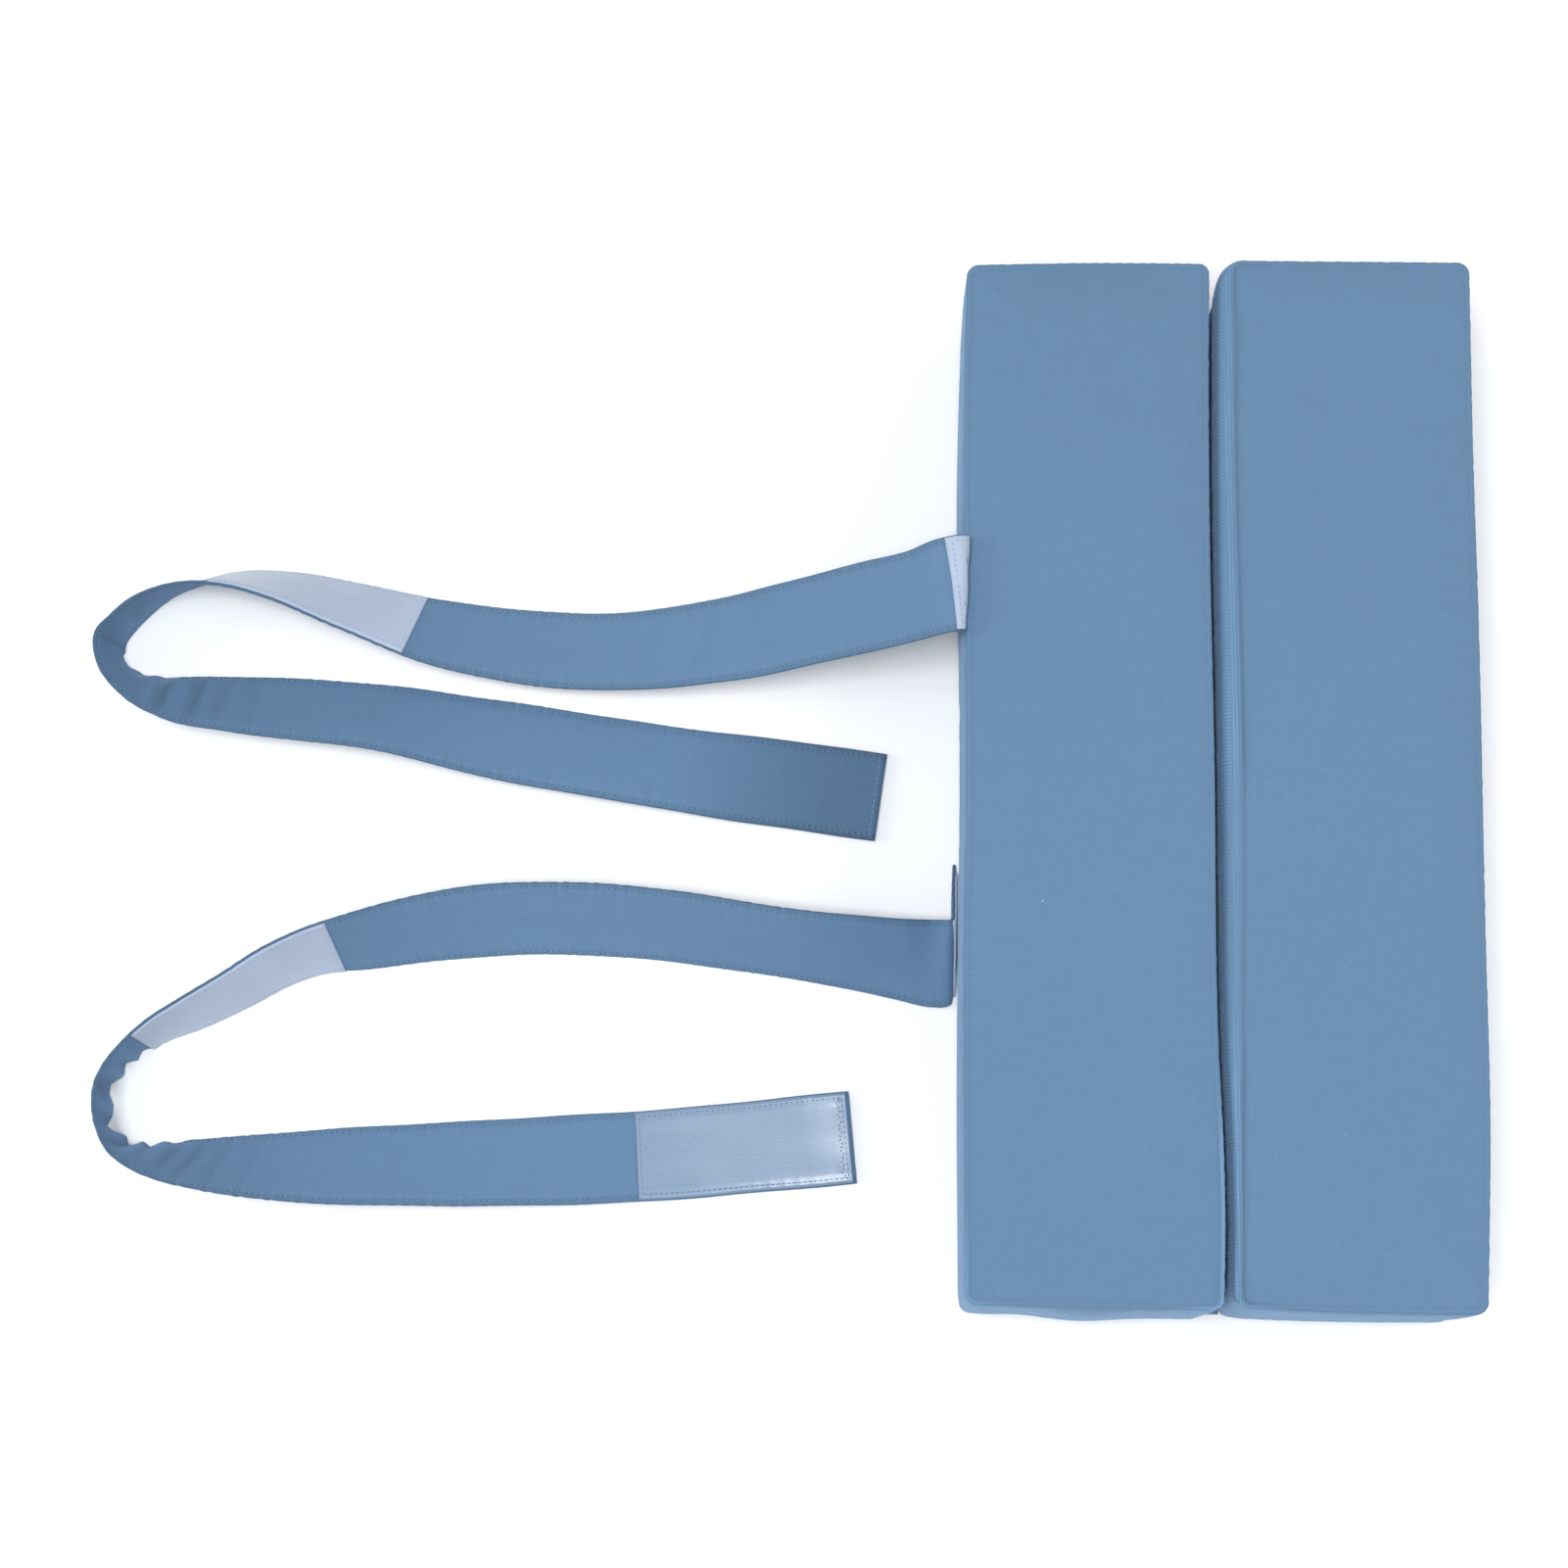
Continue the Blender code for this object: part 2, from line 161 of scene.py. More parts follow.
def bell(distance, width):
    """Bell curve: the exponential of minus the square of the distance in widths."""
    return np.exp(-(distance / width) ** 2)


def run_length(points):
    """Length so far along a line of points."""
    return np.append(0.0, np.cumsum(np.linalg.norm(np.diff(points, axis=0), axis=1)))


def section_levels(step):
    """Section of the cover in levels no further apart than the step: inset, height, roll, length so far."""
    data = rows(COVER_SECTION)
    station = run_length(data[:, :2])
    counts = np.maximum(1, np.ceil(np.diff(station) / step)).astype(int)
    spans = [np.linspace(station[i], station[i + 1], count, endpoint=False) for i, count in enumerate(counts)]
    at = np.concatenate(spans + [station[-1:]])
    return smooth(data, station, at), at


def plan_ring(inset, long_count, short_count, corner_count):
    """Rounded rectangle moved inward by the inset: fractions across and along, and the millimetres left over.

    Towards the middle of a panel the short sides bow out, as a parabola that grows with the inset.
    """
    radius = max(CORNER_RADIUS - inset, 0.6)
    keep = inset + radius
    turn = np.linspace(0, np.pi / 2, corner_count, endpoint=False)
    parts = []
    for start, (fx0, fy0), (fx1, fy1), count in ((0.0, (1, 0), (1, 1), long_count),
                                                 (0.5, (1, 1), (0, 1), short_count),
                                                 (1.0, (0, 1), (0, 0), long_count),
                                                 (1.5, (0, 0), (1, 0), short_count)):
        t = np.linspace(0, 1, count, endpoint=False)
        fx = np.concatenate([fx0 + (fx1 - fx0) * t, np.full(corner_count, fx1)])
        fy = np.concatenate([fy0 + (fy1 - fy0) * t, np.full(corner_count, fy1)])
        angle = start * np.pi + np.concatenate([np.zeros(count), turn])
        bow = (2 * fy - 1) * 0.5 * max(inset - CORNER_RADIUS, 0.0) * fx * (1 - fx) * (fy0 == fy1)
        parts.append(np.column_stack([fx, fy, keep * (1 - 2 * fx) + radius * np.cos(angle),
                                      keep * (1 - 2 * fy) + radius * np.sin(angle) + bow]))
    return np.vstack(parts)


def cover_grid(sides, levels, counts, neighbour=None):
    """Cover surface on a grid of section levels by places round the plan, in table millimetres.

    Where the section swells outward, the walls swell as a parabola between their corners, which stay crisp.
    Beside a neighbour the west wall rolls over towards it by the roll of the section; the roll starts at both
    ends as a quarter circle.
    """
    west, east, north, south = sides
    grid = []
    for inset, z, roll in levels:
        ring = plan_ring(max(inset, 0.0), *counts)
        y = SOUTH_Y + (NORTH_Y - SOUTH_Y) * ring[:, 1] + ring[:, 3]
        x0, x1 = side(west, y), side(east, y)
        x = x0 + (x1 - x0) * ring[:, 0] + ring[:, 2]
        y0, y1 = side(south, x), side(north, x)
        y = y0 + (y1 - y0) * ring[:, 1] + ring[:, 3]
        full_x = 1 - ((y - 0.5 * (y0 + y1)) / (0.5 * (y1 - y0))) ** 4
        full_y = 1 - ((x - 0.5 * (x0 + x1)) / (0.5 * (x1 - x0))) ** 2
        x = x - (2 * ring[:, 0] - 1) * min(inset, 0.0) * SIDE_SWELL * np.clip(full_x, 0.0, 1.0)
        y = y - (2 * ring[:, 1] - 1) * min(inset, 0.0) * np.clip(full_y, 0.0, 1.0)
        if neighbour is not None:
            from_end = np.clip(np.minimum(y1 - y, (y - y0) * 1.6) / ROLL_START, 0.0, 1.0)
            reach = (x0 - side(neighbour, y) - ROLL_CLEARANCE) * np.sqrt(1 - (1 - from_end) ** 2)
            x = x - roll * reach * bell(np.maximum(x - x0, 0.0), ROLL_FADE)
        grid.append(np.column_stack([x, y, np.full(len(x), z)]))
    return np.array(grid)


def grid_normals(grid):
    """Unit normals of a grid that closes on itself sideways: cross product of the two grid directions."""
    around = np.roll(grid, -1, axis=1) - np.roll(grid, 1, axis=1)
    up = np.gradient(grid, axis=0)
    normal = np.cross(around, up)
    return normal / np.maximum(np.linalg.norm(normal, axis=2), 1e-9)[..., None]


def rungs(first, counts):
    """Faces that close a long ring, each joining two steps of its long sides across the ring."""
    long_count, short_count, corner_count = counts
    total = 2 * (long_count + short_count) + 4 * corner_count
    order = first + (np.arange(total) - short_count // 2 - corner_count) % total
    k = np.arange(total // 2 - 1)
    return np.column_stack([order[k], order[-1 - k], order[-2 - k], order[k + 1]])


def ring_faces(levels, count):
    """Quads of a grid that closes on itself sideways."""
    i, j = np.meshgrid(np.arange(levels - 1), np.arange(count), indexing="ij")
    k = (j + 1) % count
    quads = np.stack([i * count + j, i * count + k, (i + 1) * count + k, (i + 1) * count + j], axis=2)
    return quads.reshape(-1, 4)


def cover_faces(levels, counts):
    """Quads of a whole cover: its grid, and rungs that close the inmost rings of its base and its top."""
    count = 2 * (counts[0] + counts[1]) + 4 * counts[2]
    base, top = rungs(0, counts), rungs((levels - 1) * count, counts)[:, ::-1]
    return np.vstack([ring_faces(levels, count), base, top])


def strip_faces(sections, count):
    """Quads of a closed strip: its sides as a grid, and rungs across its first and last sections."""
    k = np.arange(count // 2 - 1)
    first = np.column_stack([k, k + 1, count - 2 - k, count - 1 - k])
    last = (first + (sections - 1) * count)[:, ::-1]
    return np.vstack([ring_faces(sections, count)[:, ::-1], first, last])


def quad_mesh(name, points, faces, uv=None, marks=None):
    """Mesh object from points in metres and quads, with a UV per corner and named values per point."""
    mesh = bpy.data.meshes.new(name)
    mesh.vertices.add(len(points))
    mesh.vertices.foreach_set("co", np.asarray(points, dtype=np.float32).ravel())
    mesh.loops.add(faces.size)
    mesh.loops.foreach_set("vertex_index", faces.astype(np.int32).ravel())
    mesh.polygons.add(len(faces))
    mesh.polygons.foreach_set("loop_start", np.arange(0, faces.size, 4, dtype=np.int32))
    mesh.update(calc_edges=True)
    if uv is not None:
        cloth = mesh.uv_layers.new(name="cloth")
        cloth.data.foreach_set("uv", np.asarray(uv, dtype=np.float32).ravel())
    for label, values in (marks or {}).items():
        mark = mesh.attributes.new(label, "FLOAT", "POINT")
        mark.data.foreach_set("value", values.astype(np.float32).ravel())
    mesh.shade_smooth()
    piece = bpy.data.objects.new(name, mesh)
    scene.collection.objects.link(piece)
    return piece


def new_finish(name):
    """New material with its nodes, its links and its shader."""
    material = bpy.data.materials.new(name)
    material.use_nodes = True
    nodes = material.node_tree.nodes
    return material, nodes, material.node_tree.links, nodes["Principled BSDF"]


def plain_weave(name, colour, yarn, bump, fleck):
    """Plain weave: crossed sine waves of the yarns, slubs from stretched noise, colour drift, lint flecks.

    Reads the UV map in metres and two point values: "edge", a tone that is above 0 where the cloth is painted
    lighter, as painted light on the walls and as a paler seam ridge, and below 0 where it is painted darker,
    as painted shade in folds, seam and stitch grooves and along strap edges; and "ribs", the strength of the
    fine ribs on the wall below a seam.
    """
    material, nodes, links, shader = new_finish(name)
    shader.inputs["Roughness"].default_value = 0.88
    shader.inputs["Specular IOR Level"].default_value = 0.25
    shader.inputs["Sheen Weight"].default_value = 0.34
    shader.inputs["Sheen Roughness"].default_value = 0.35
    shader.inputs["Sheen Tint"].default_value = (0.46, 0.68, 1.0, 1.0)

    def math(kind, a, b=None):
        """One arithmetic node; numbers are set on its sockets and sockets are linked."""
        node = nodes.new("ShaderNodeMath")
        node.operation = kind
        for socket, value in zip(node.inputs, (a, b)):
            if value is None:
                continue
            if isinstance(value, (int, float)):
                socket.default_value = value
            else:
                links.new(value, socket)
        return node.outputs[0]

    def noise(scale, detail, stretch):
        """Noise over the cloth, stretched along or across the yarns."""
        place = nodes.new("ShaderNodeMapping")
        place.inputs["Scale"].default_value = stretch
        links.new(cloth_map, place.inputs["Vector"])
        node = nodes.new("ShaderNodeTexNoise")
        node.inputs["Scale"].default_value = scale
        node.inputs["Detail"].default_value = detail
        links.new(place.outputs[0], node.inputs["Vector"])
        return node.outputs["Fac"]

    uv = nodes.new("ShaderNodeUVMap")
    uv.uv_map = "cloth"
    cloth_map = uv.outputs["UV"]
    split = nodes.new("ShaderNodeSeparateXYZ")
    links.new(cloth_map, split.inputs[0])
    drift = noise(7.0, 2.0, (1, 1, 1))
    streaks = math("ADD", noise(1.0, 2.0, (48, 1300, 1)), noise(1.0, 2.0, (1300, 48, 1)))
    fine = math("MULTIPLY", streaks, 0.5)
    warp_slub = noise(1.0, 2.0, (45, 1400, 1))
    weft_slub = noise(1.0, 2.0, (1400, 45, 1))
    turn = 2 * np.pi / yarn
    warp = math("SINE", math("MULTIPLY", split.outputs[0], turn))
    weft = math("SINE", math("MULTIPLY", split.outputs[1], turn))
    weave = math("MULTIPLY", warp, weft)
    slub = math("ADD", math("GREATER_THAN", warp_slub, 0.70), math("GREATER_THAN", weft_slub, 0.71))
    ribs = nodes.new("ShaderNodeAttribute")
    ribs.attribute_name = "ribs"
    across_ribs = math("MULTIPLY", split.outputs[0], 2 * np.pi / RIB_PITCH)
    wander = math("ADD", across_ribs, math("MULTIPLY", fine, 5.0))
    rib = math("MULTIPLY", ribs.outputs["Fac"], math("SINE", wander))
    height = math("MULTIPLY", weave, 0.5)
    for part, share in ((fine, 0.9), (slub, 0.7), (rib, 2.2)):
        height = math("ADD", height, math("MULTIPLY", part, share))
    relief = nodes.new("ShaderNodeBump")
    relief.inputs["Strength"].default_value = bump
    relief.inputs["Distance"].default_value = 0.00025
    links.new(height, relief.inputs["Height"])
    links.new(relief.outputs[0], shader.inputs["Normal"])

    cells = nodes.new("ShaderNodeTexVoronoi")
    cells.inputs["Scale"].default_value = 34.0
    links.new(cloth_map, cells.inputs["Vector"])
    lint = math("LESS_THAN", cells.outputs["Distance"], fleck)
    # The edge value lightens or darkens the colour: painted light and painted shade, and a paler seam ridge.
    edge = nodes.new("ShaderNodeAttribute")
    edge.attribute_name = "edge"
    value = math("ADD", math("MULTIPLY", rib, 0.12), 1.0)
    for part, share in ((math("SUBTRACT", drift, 0.5), 0.09), (math("SUBTRACT", fine, 0.5), 0.26),
                        (weave, 0.035), (slub, 0.04), (edge.outputs["Fac"], 0.30)):
        value = math("ADD", value, math("MULTIPLY", part, share))
    paint = nodes.new("ShaderNodeVectorMath")
    paint.operation = "SCALE"
    paint.inputs[0].default_value = colour
    links.new(value, paint.inputs["Scale"])
    speck = nodes.new("ShaderNodeMix")
    speck.data_type = "RGBA"
    links.new(lint, speck.inputs[0])
    links.new(paint.outputs[0], speck.inputs[6])
    speck.inputs[7].default_value = LINT_BLUE
    links.new(speck.outputs[2], shader.inputs["Base Color"])
    return material


def swell(piece, shape, pinned, cap):
    """Let the cover settle over its foam: cloth under a little pressure, held at its seams.

    Gives how far each point of the grid moved, no further than the cap.
    """
    group = piece.vertex_groups.new(name="seams")
    group.add([int(i) for i in pinned], 1.0, "REPLACE")
    cloth = piece.modifiers.new("swell", "CLOTH")
    cloth.settings.quality = 4
    cloth.settings.vertex_group_mass = "seams"
    cloth.settings.use_pressure = True
    cloth.settings.uniform_pressure_force = 0.6
    cloth.settings.shrink_min = -0.002
    cloth.settings.effector_weights.gravity = 0.0
    cloth.collision_settings.use_collision = False
    for step in range(1, 21):
        scene.frame_set(step)
    settled = piece.evaluated_get(bpy.context.evaluated_depsgraph_get()).data
    after = np.empty(len(settled.vertices) * 3, dtype=np.float32)
    before = np.empty_like(after)
    settled.vertices.foreach_get("co", after)
    piece.data.vertices.foreach_get("co", before)
    move = (after - before).reshape(shape).astype(float)
    piece.modifiers.remove(cloth)
    scene.frame_set(1)
    size = np.linalg.norm(move, axis=2)[..., None]
    return move * np.minimum(1.0, cap / np.maximum(size, 1e-9))


COARSE_COUNTS, FINE_COUNTS = (124, 30, 4), (248, 60, 8)
LEVEL_STEP = 6.0
SETTLE_CAP = 0.0006
SEAM_INSET, FOOT_HEIGHT = 1.8, 2.6
PUCKER_WAVES = (97, 131, 173, 211, 61)
SEAM_PUCKER, FOOT_PUCKER = (0.20, 5.0), (0.30, 8.0)
RIDGE_PITCH, RIDGE_RISE = 2.6, 0.11
SLOW_SPANS, SLOW_RISE = (61.0, 43.0, 29.0), 0.0035


def cover(name, node, sides, creases, eases, seed, neighbour=None):
    """Cushion cover: the section carried round the plan, settled as cloth, then puckered along its seams.

    A pucker is a sum of sine waves round the plan that fades with distance from the seam. A crease is a soft
    trough, a bell curve across a short line. An ease is a stretch of seam painted paler along its ridge or
    finely ribbed; where it is ribbed, the seam groove gets more painted shade and the wall below gets painted
    light. The walls are painted a little lighter all round, as painted light.
    """
    rng = np.random.default_rng(seed)
    levels, length = section_levels(LEVEL_STEP)
    fine = cover_grid(sides, levels, FINE_COUNTS, neighbour)
    count = fine.shape[1]
    held = (levels[:, 1] < 3.0) | ((levels[:, 1] > 95.0) & (levels[:, 0] < 5.0)) | (levels[:, 0] > 44.0)
    coarse = cover_grid(sides, levels, COARSE_COUNTS, neighbour)
    trial = quad_mesh(name + "_trial", (coarse - MIDDLE).reshape(-1, 3) * MM,
                      cover_faces(len(levels), COARSE_COUNTS))
    pinned = np.flatnonzero(np.repeat(held, coarse.shape[1]))
    middle = np.clip((49.0 - levels[:, 0]) / 20.0, 0.0, 1.0) ** 2
    move = swell(trial, coarse.shape, pinned, SETTLE_CAP) / MM * middle[:, None, None]
    bpy.data.objects.remove(trial)
    across = np.arange(count) * coarse.shape[1] / count
    low = np.floor(across).astype(int)
    part = (across - low)[None, :, None]
    fine = fine + move[:, low] * (1 - part) + move[:, (low + 1) % coarse.shape[1]] * part
    normal = grid_normals(fine)
    ring = fine[len(levels) // 2]
    turned = run_length(np.vstack([ring, ring[:1]]))
    around, total = turned[:-1], turned[-1]
    seam = length[np.argmin(np.abs(levels[:, 0] - SEAM_INSET) + (levels[:, 1] < 90) * 100)]
    foot = length[np.argmin(np.abs(levels[:, 1] - FOOT_HEIGHT))]
    lift = np.zeros(fine.shape[:2])
    for at, (size, fade) in ((seam, SEAM_PUCKER), (foot, FOOT_PUCKER)):
        away = np.abs(length - at)
        for waves in PUCKER_WAVES:
            wave = np.sin(2 * np.pi * waves * around / total + rng.uniform(0, 2 * np.pi))
            slow = 2 * np.pi * rng.integers(3, 9) * around / total
            patchy = 0.5 + 0.5 * np.sin(slow + rng.uniform(0, 2 * np.pi))
            beside = np.exp(-away / fade) * (1 - np.exp(-away / 0.9))
            lift += size * 0.42 * (wave * patchy)[None, :] * beside[:, None]
    ridge = bell(length - seam + 1.6, 0.9)
    folds = np.sin(2 * np.pi * round(total / RIDGE_PITCH) * around / total)
    lift += RIDGE_RISE * folds[None, :] * ridge[:, None]
    for span in SLOW_SPANS:
        phase = rng.uniform(0, 2 * np.pi, 3)
        wide = np.sin(fine[..., 0] / span + fine[..., 2] / 19.0 + phase[0])
        long = np.sin(fine[..., 1] / span + 0.6 * np.sin(fine[..., 0] / 50.0 + phase[1]) + phase[2])
        lift += SLOW_RISE * span * wide * long
    on_wall = np.clip(fine[..., 2] / 14, 0, 1) * np.clip((99 - fine[..., 2]) / 20, 0, 1)
    for x, y, angle, reach, depth in rows(creases):
        c, s = np.cos(np.radians(angle)), np.sin(np.radians(angle))
        along = (fine[..., 0] - x) * c + (fine[..., 1] - y) * s
        off = -(fine[..., 0] - x) * s + (fine[..., 1] - y) * c
        lift -= depth * bell(along, reach) * bell(off, 3.2) * on_wall
    lift *= np.clip(fine[..., 2] / 3.0, 0.0, 1.0)
    if neighbour is not None:
        west_line = side(sides[0], fine[..., 1].ravel()).reshape(fine.shape[:2])
        lift *= 1 - 0.6 * bell(fine[..., 0] - west_line, 9.0)
    fine = fine + normal * lift[..., None]
    fine[..., 2] = np.maximum(fine[..., 2], 0.0)
    points = ((fine - MIDDLE) * MM).reshape(-1, 3)
    faces = cover_faces(len(levels), FINE_COUNTS)
    corners = points[:, :2][faces]
    lines = np.repeat(np.arange(len(levels) - 1), count)
    wall = (levels[lines, 1] >= WALL_FROM - 0.2) & (levels[lines + 1, 1] <= WALL_TO + 0.2)
    wall &= levels[lines, 0] < 2.0
    j = np.tile(np.arange(count), len(levels) - 1)
    wall_uv = np.stack([np.stack([turned[j + a], length[lines + b]], 1)
                        for a, b in ((0, 0), (1, 0), (1, 1), (0, 1))], 1) * MM
    corners[:len(lines)][wall] = wall_uv[wall]
    # Paler along the seam ridge, most where a stretch is listed as pale.
    ridge_band = bell(length - seam + 1.4, 1.3)
    # Painted shade: a thin darker line in the seam groove just below the seam, deeper where the wall is
    # ribbed.
    sewn = bell(length - seam - 0.7, 0.8)
    ridge_pale = np.zeros(fine.shape[:2])
    # Strength of the fine ribs on the wall below the seam; the same mask also paints light on that wall, most
    # on the west wall of the right block in the gap.
    ribs_and_painted_light = np.zeros(fine.shape[:2])
    seam_shade = np.full(fine.shape[:2], 0.06)
    for x, y, reach, pale, rib in rows(eases):
        past = np.maximum(np.abs(fine[..., 1] - y) - 0.5 * reach, 0.0)
        near = bell(fine[..., 0] - x, 12.0) * bell(past, 25.0)
        ridge_pale += pale * near
        seam_shade += rib * near
        below = bell(length - seam, 45.0) * (length < seam + 0.5)
        ribs_and_painted_light += rib * near * below[:, None]
    # Painted light: the walls between foot and seam are painted a little lighter than the top.
    wall_painted_light = np.clip((seam - 3.0 - length) / 6.0, 0.0, 1.0) * (length > foot)
    # The tone: a paler seam ridge, painted shade in the seam groove, and painted light on the walls and on
    # the ribbed wall in the gap.
    edge = ((0.05 + ridge_pale) * ridge_band[:, None] - seam_shade * sewn[:, None]
            + 0.12 * wall_painted_light[:, None] + 0.6 * ribs_and_painted_light)
    piece = quad_mesh(name, points, faces, corners, {"edge": edge.ravel(), "ribs": ribs_and_painted_light.ravel()})
    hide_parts(node)
    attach(piece, "root")
    stitch_level = np.argmin(np.abs(levels[:, 0] - TOPSTITCH_INSET) + (levels[:, 1] < 90) * 100)
    return piece, points.reshape(len(levels), count, 3)[stitch_level], normal[stitch_level]


cover_weave = plain_weave("cover_weave", COVER_BLUE, yarn=0.0011, bump=0.35, fleck=0.016)
left_cover, left_line, left_normal = cover("cushion_left_cover", "cushion_left",
                                           (LEFT_WEST_X, LEFT_EAST_X, LEFT_NORTH_Y, LEFT_SOUTH_Y),
                                           LEFT_CREASES, LEFT_EASES, seed=3)
left_cover.data.materials.append(cover_weave)


# Right cushion
# The same foam block and cover without straps. Its wall band is seen in the gap, where it rolls over towards
# the left block and is gathered into fine ribs along the seam; there its colour is painted lighter as painted
# light, and its seam groove darker as painted shade.
RIGHT_WEST_X = (
    ("y", "x"),
    (-270, 210.2), (-210, 211.4), (-150, 213.9), (-70, 216.9), (-12, 218.4), (40, 219), (93, 218.5),
    (150, 218.7), (208, 219.6), (240, 218.8))
RIGHT_EAST_X = (
    ("y", "x"),
    (-270, 321), (-229, 323.4), (-190, 325.6), (-95, 327.7), (-12, 329.3), (55, 330.2), (132, 331.1),
    (196, 332.4), (240, 333.2))
RIGHT_NORTH_Y = (("x", "y"), (214, 239.1), (275, 238.1), (336, 237))
RIGHT_SOUTH_Y = (("x", "y"), (206, -263), (250, -264.2), (290, -264.9), (324, -265.2))
RIGHT_CREASES = (
    ("x", "y", "angle", "length", "depth"),
    (219, 62, 3, 16, 0.5), (219, 30, -4, 18, 0.5), (219, 228, 20, 18, 0.5), (232, 233, 40, 12, 0.35),
    (330, -180, 0, 14, 0.35), (214, -200, 6, 12, 0.3))
# The ribs column also paints light on the wall below the seam and deepens the painted shade in its seam
# groove.
RIGHT_EASES = (
    ("x", "y", "reach", "pale", "ribs"),
    (213, 120, 230, 0, 1), (213, -70, 130, 0, 0.5), (209, -215, 90, 0, 1.3))

right_cover, right_line, right_normal = cover("cushion_right_cover", "cushion_right",
                                              (RIGHT_WEST_X, RIGHT_EAST_X, RIGHT_NORTH_Y, RIGHT_SOUTH_Y),
                                              RIGHT_CREASES, RIGHT_EASES, seed=8, neighbour=LEFT_EAST_X)
right_cover.data.materials.append(cover_weave)


# Upper strap
# A tube of blue cloth turned and pressed flat, 45 mm wide, topstitched along both edges. It comes up the
# wall of the left block, is folded back over the top edge, slopes to the floor and turns over in its loop.
STRAP_WIDTH = 45.0
STRAP_THICKNESS = 1.8
UPPER_ROOT = (
    ("north x", "y", "z", "south x", "y", "z"),
    (84.6, 125, 4, 84.6, 78.5, 4), (84, 112.5, 50, 84.2, 66, 50), (84.6, 101, 94, 84.6, 54.5, 94),
    (85.2, 99.6, 100.6, 84.9, 53, 100.6), (87.4, 98.8, 104.6, 86, 52.2, 104.6),
    (89.7, 98.4, 106.3, 87.3, 51.8, 106.3), (88, 98, 107.8, 86.3, 51.4, 107.8),
    (84.2, 97.8, 108, 83.4, 51.2, 107.9), (77.4, 97.2, 105.6, 80.4, 50.6, 107))
UPPER_RUN = (
    ("x", "y", "lift", "lean"),
    (62, 71.2, 94, -1), (40, 69.8, 79.5, -1), (20, 68.5, 66, 1), (0, 67, 52, 4), (-19, 65.8, 39, 7),
    (-39, 65, 28, 10), (-59, 64.3, 19, 13), (-99, 65.2, 7, 17), (-139, 69.6, 1.6, 22), (-178, 76.6, 0, 31),
    (-218, 88, 0, 45), (-256, 98.4, 0, 59), (-278, 101, 0, 67), (-297, 99.2, 0, 75), (-312, 94.6, 0, 80),
    (-325, 86.4, 0, 86), (-335.3, 75.6, 0, 89), (-340.2, 67.6, 0, 93), (-336.6, 58, 0, 102),
    (-330.4, 50.2, 0, 109), (-321.4, 44.8, 0, 118), (-308, 41.2, 0, 129), (-276, 38, 0, 140),
    (-237, 35.2, 0, 146), (-197, 31, 0, 150), (-158, 23.6, 0.2, 159), (-118, 16.8, 0.5, 165),
    (-79, 10.4, 1, 167), (-40, 4.4, 1.2, 172), (0, -0.6, 1.15, 177), (48.6, -7.5, 1.15, 180))
UPPER_CREASES = (
    ("at", "slant", "width", "depth", "edge"),
    (577, 3, 2.4, 1.6, 1), (577, 3, 2, 1.1, 0), (590, 7, 3.6, -1.4, 1), (603, -3, 4.6, 1.3, 1),
    (612, 10, 3.2, -1.1, 0), (620, 6, 3, 1.5, 0), (629, 4, 3.2, -1, 0), (637, 2, 3, 1.4, 0),
    (649, -2, 3.6, 0.8, 0), (664, 4, 4, 0.4, 0), (556, -12, 4, 0.6, 0), (566, 14, 4, -0.5, 0),
    (726, 30, 5, 0.2, 0), (258, 20, 6, 0.2, 0), (300, -18, 6, 0.15, 0))
STRAP_BLUE = (0.1145, 0.213, 0.351)
GATHER_PITCH = 13.2
CURL_LENGTH = 26.0


def strap_path(root, run, step):
    """Sections of a strap at even steps: both edges, the direction across, and the one out of the inner face.

    In the run an edge lies half a width off the middle, across the path and turned by the lean; the lower
    edge is the lift above the floor. The cubic curve carries the sections from row to row.
    """
    data = rows(run)
    plan = data[:, :2]
    heading = np.vstack([plan[1] - plan[0], plan[2:] - plan[:-2], plan[-1] - plan[-2]])
    heading /= np.linalg.norm(heading, axis=1)[:, None]
    lean = np.radians(data[:, 3])
    flat, upright = np.cos(lean), np.sin(lean)
    across = np.column_stack([heading[:, 1] * flat, -heading[:, 0] * flat, -upright])
    height = data[:, 2] + 0.5 * STRAP_WIDTH * np.abs(upright) + 0.5 * STRAP_THICKNESS * np.abs(flat)
    middle = np.column_stack([plan, height])
    half = 0.5 * STRAP_WIDTH * across
    edges = np.vstack([rows(root), np.hstack([middle + half, middle - half])])
    middle = 0.5 * (edges[:, :3] + edges[:, 3:])
    station = run_length(middle)
    at = np.linspace(0.0, station[-1], int(round(station[-1] / step)) + 1)
    edges = smooth(edges, station, at)
    middle = 0.5 * (edges[:, :3] + edges[:, 3:])
    along = np.gradient(middle, axis=0)
    along /= np.linalg.norm(along, axis=1)[:, None]
    across = edges[:, :3] - edges[:, 3:]
    across /= np.linalg.norm(across, axis=1)[:, None]
    out = np.cross(across, along)
    out /= np.linalg.norm(out, axis=1)[:, None]
    return {"at": at, "data": np.hstack([edges, across, out])}


def on_strap(path, at, v, height, shape):
    """Points on a strap and the directions out of it.

    The place along it is at, the share of the width from the north edge is v, and the height is measured
    out of the inner face. The shape adds the gathers, creases and puckers of that strap.
    """
    data = np.stack([np.interp(at, path["at"], column) for column in path["data"].T], axis=-1)
    north, south, across, out = (data[..., i:i + 3] for i in (0, 3, 6, 9))
    v = np.broadcast_to(v, at.shape)
    offset, slide, _ = shape(at, v)
    points = north * (1 - v)[..., None] + south * v[..., None] + out * (height + offset)[..., None]
    return points + across * slide[..., None], out


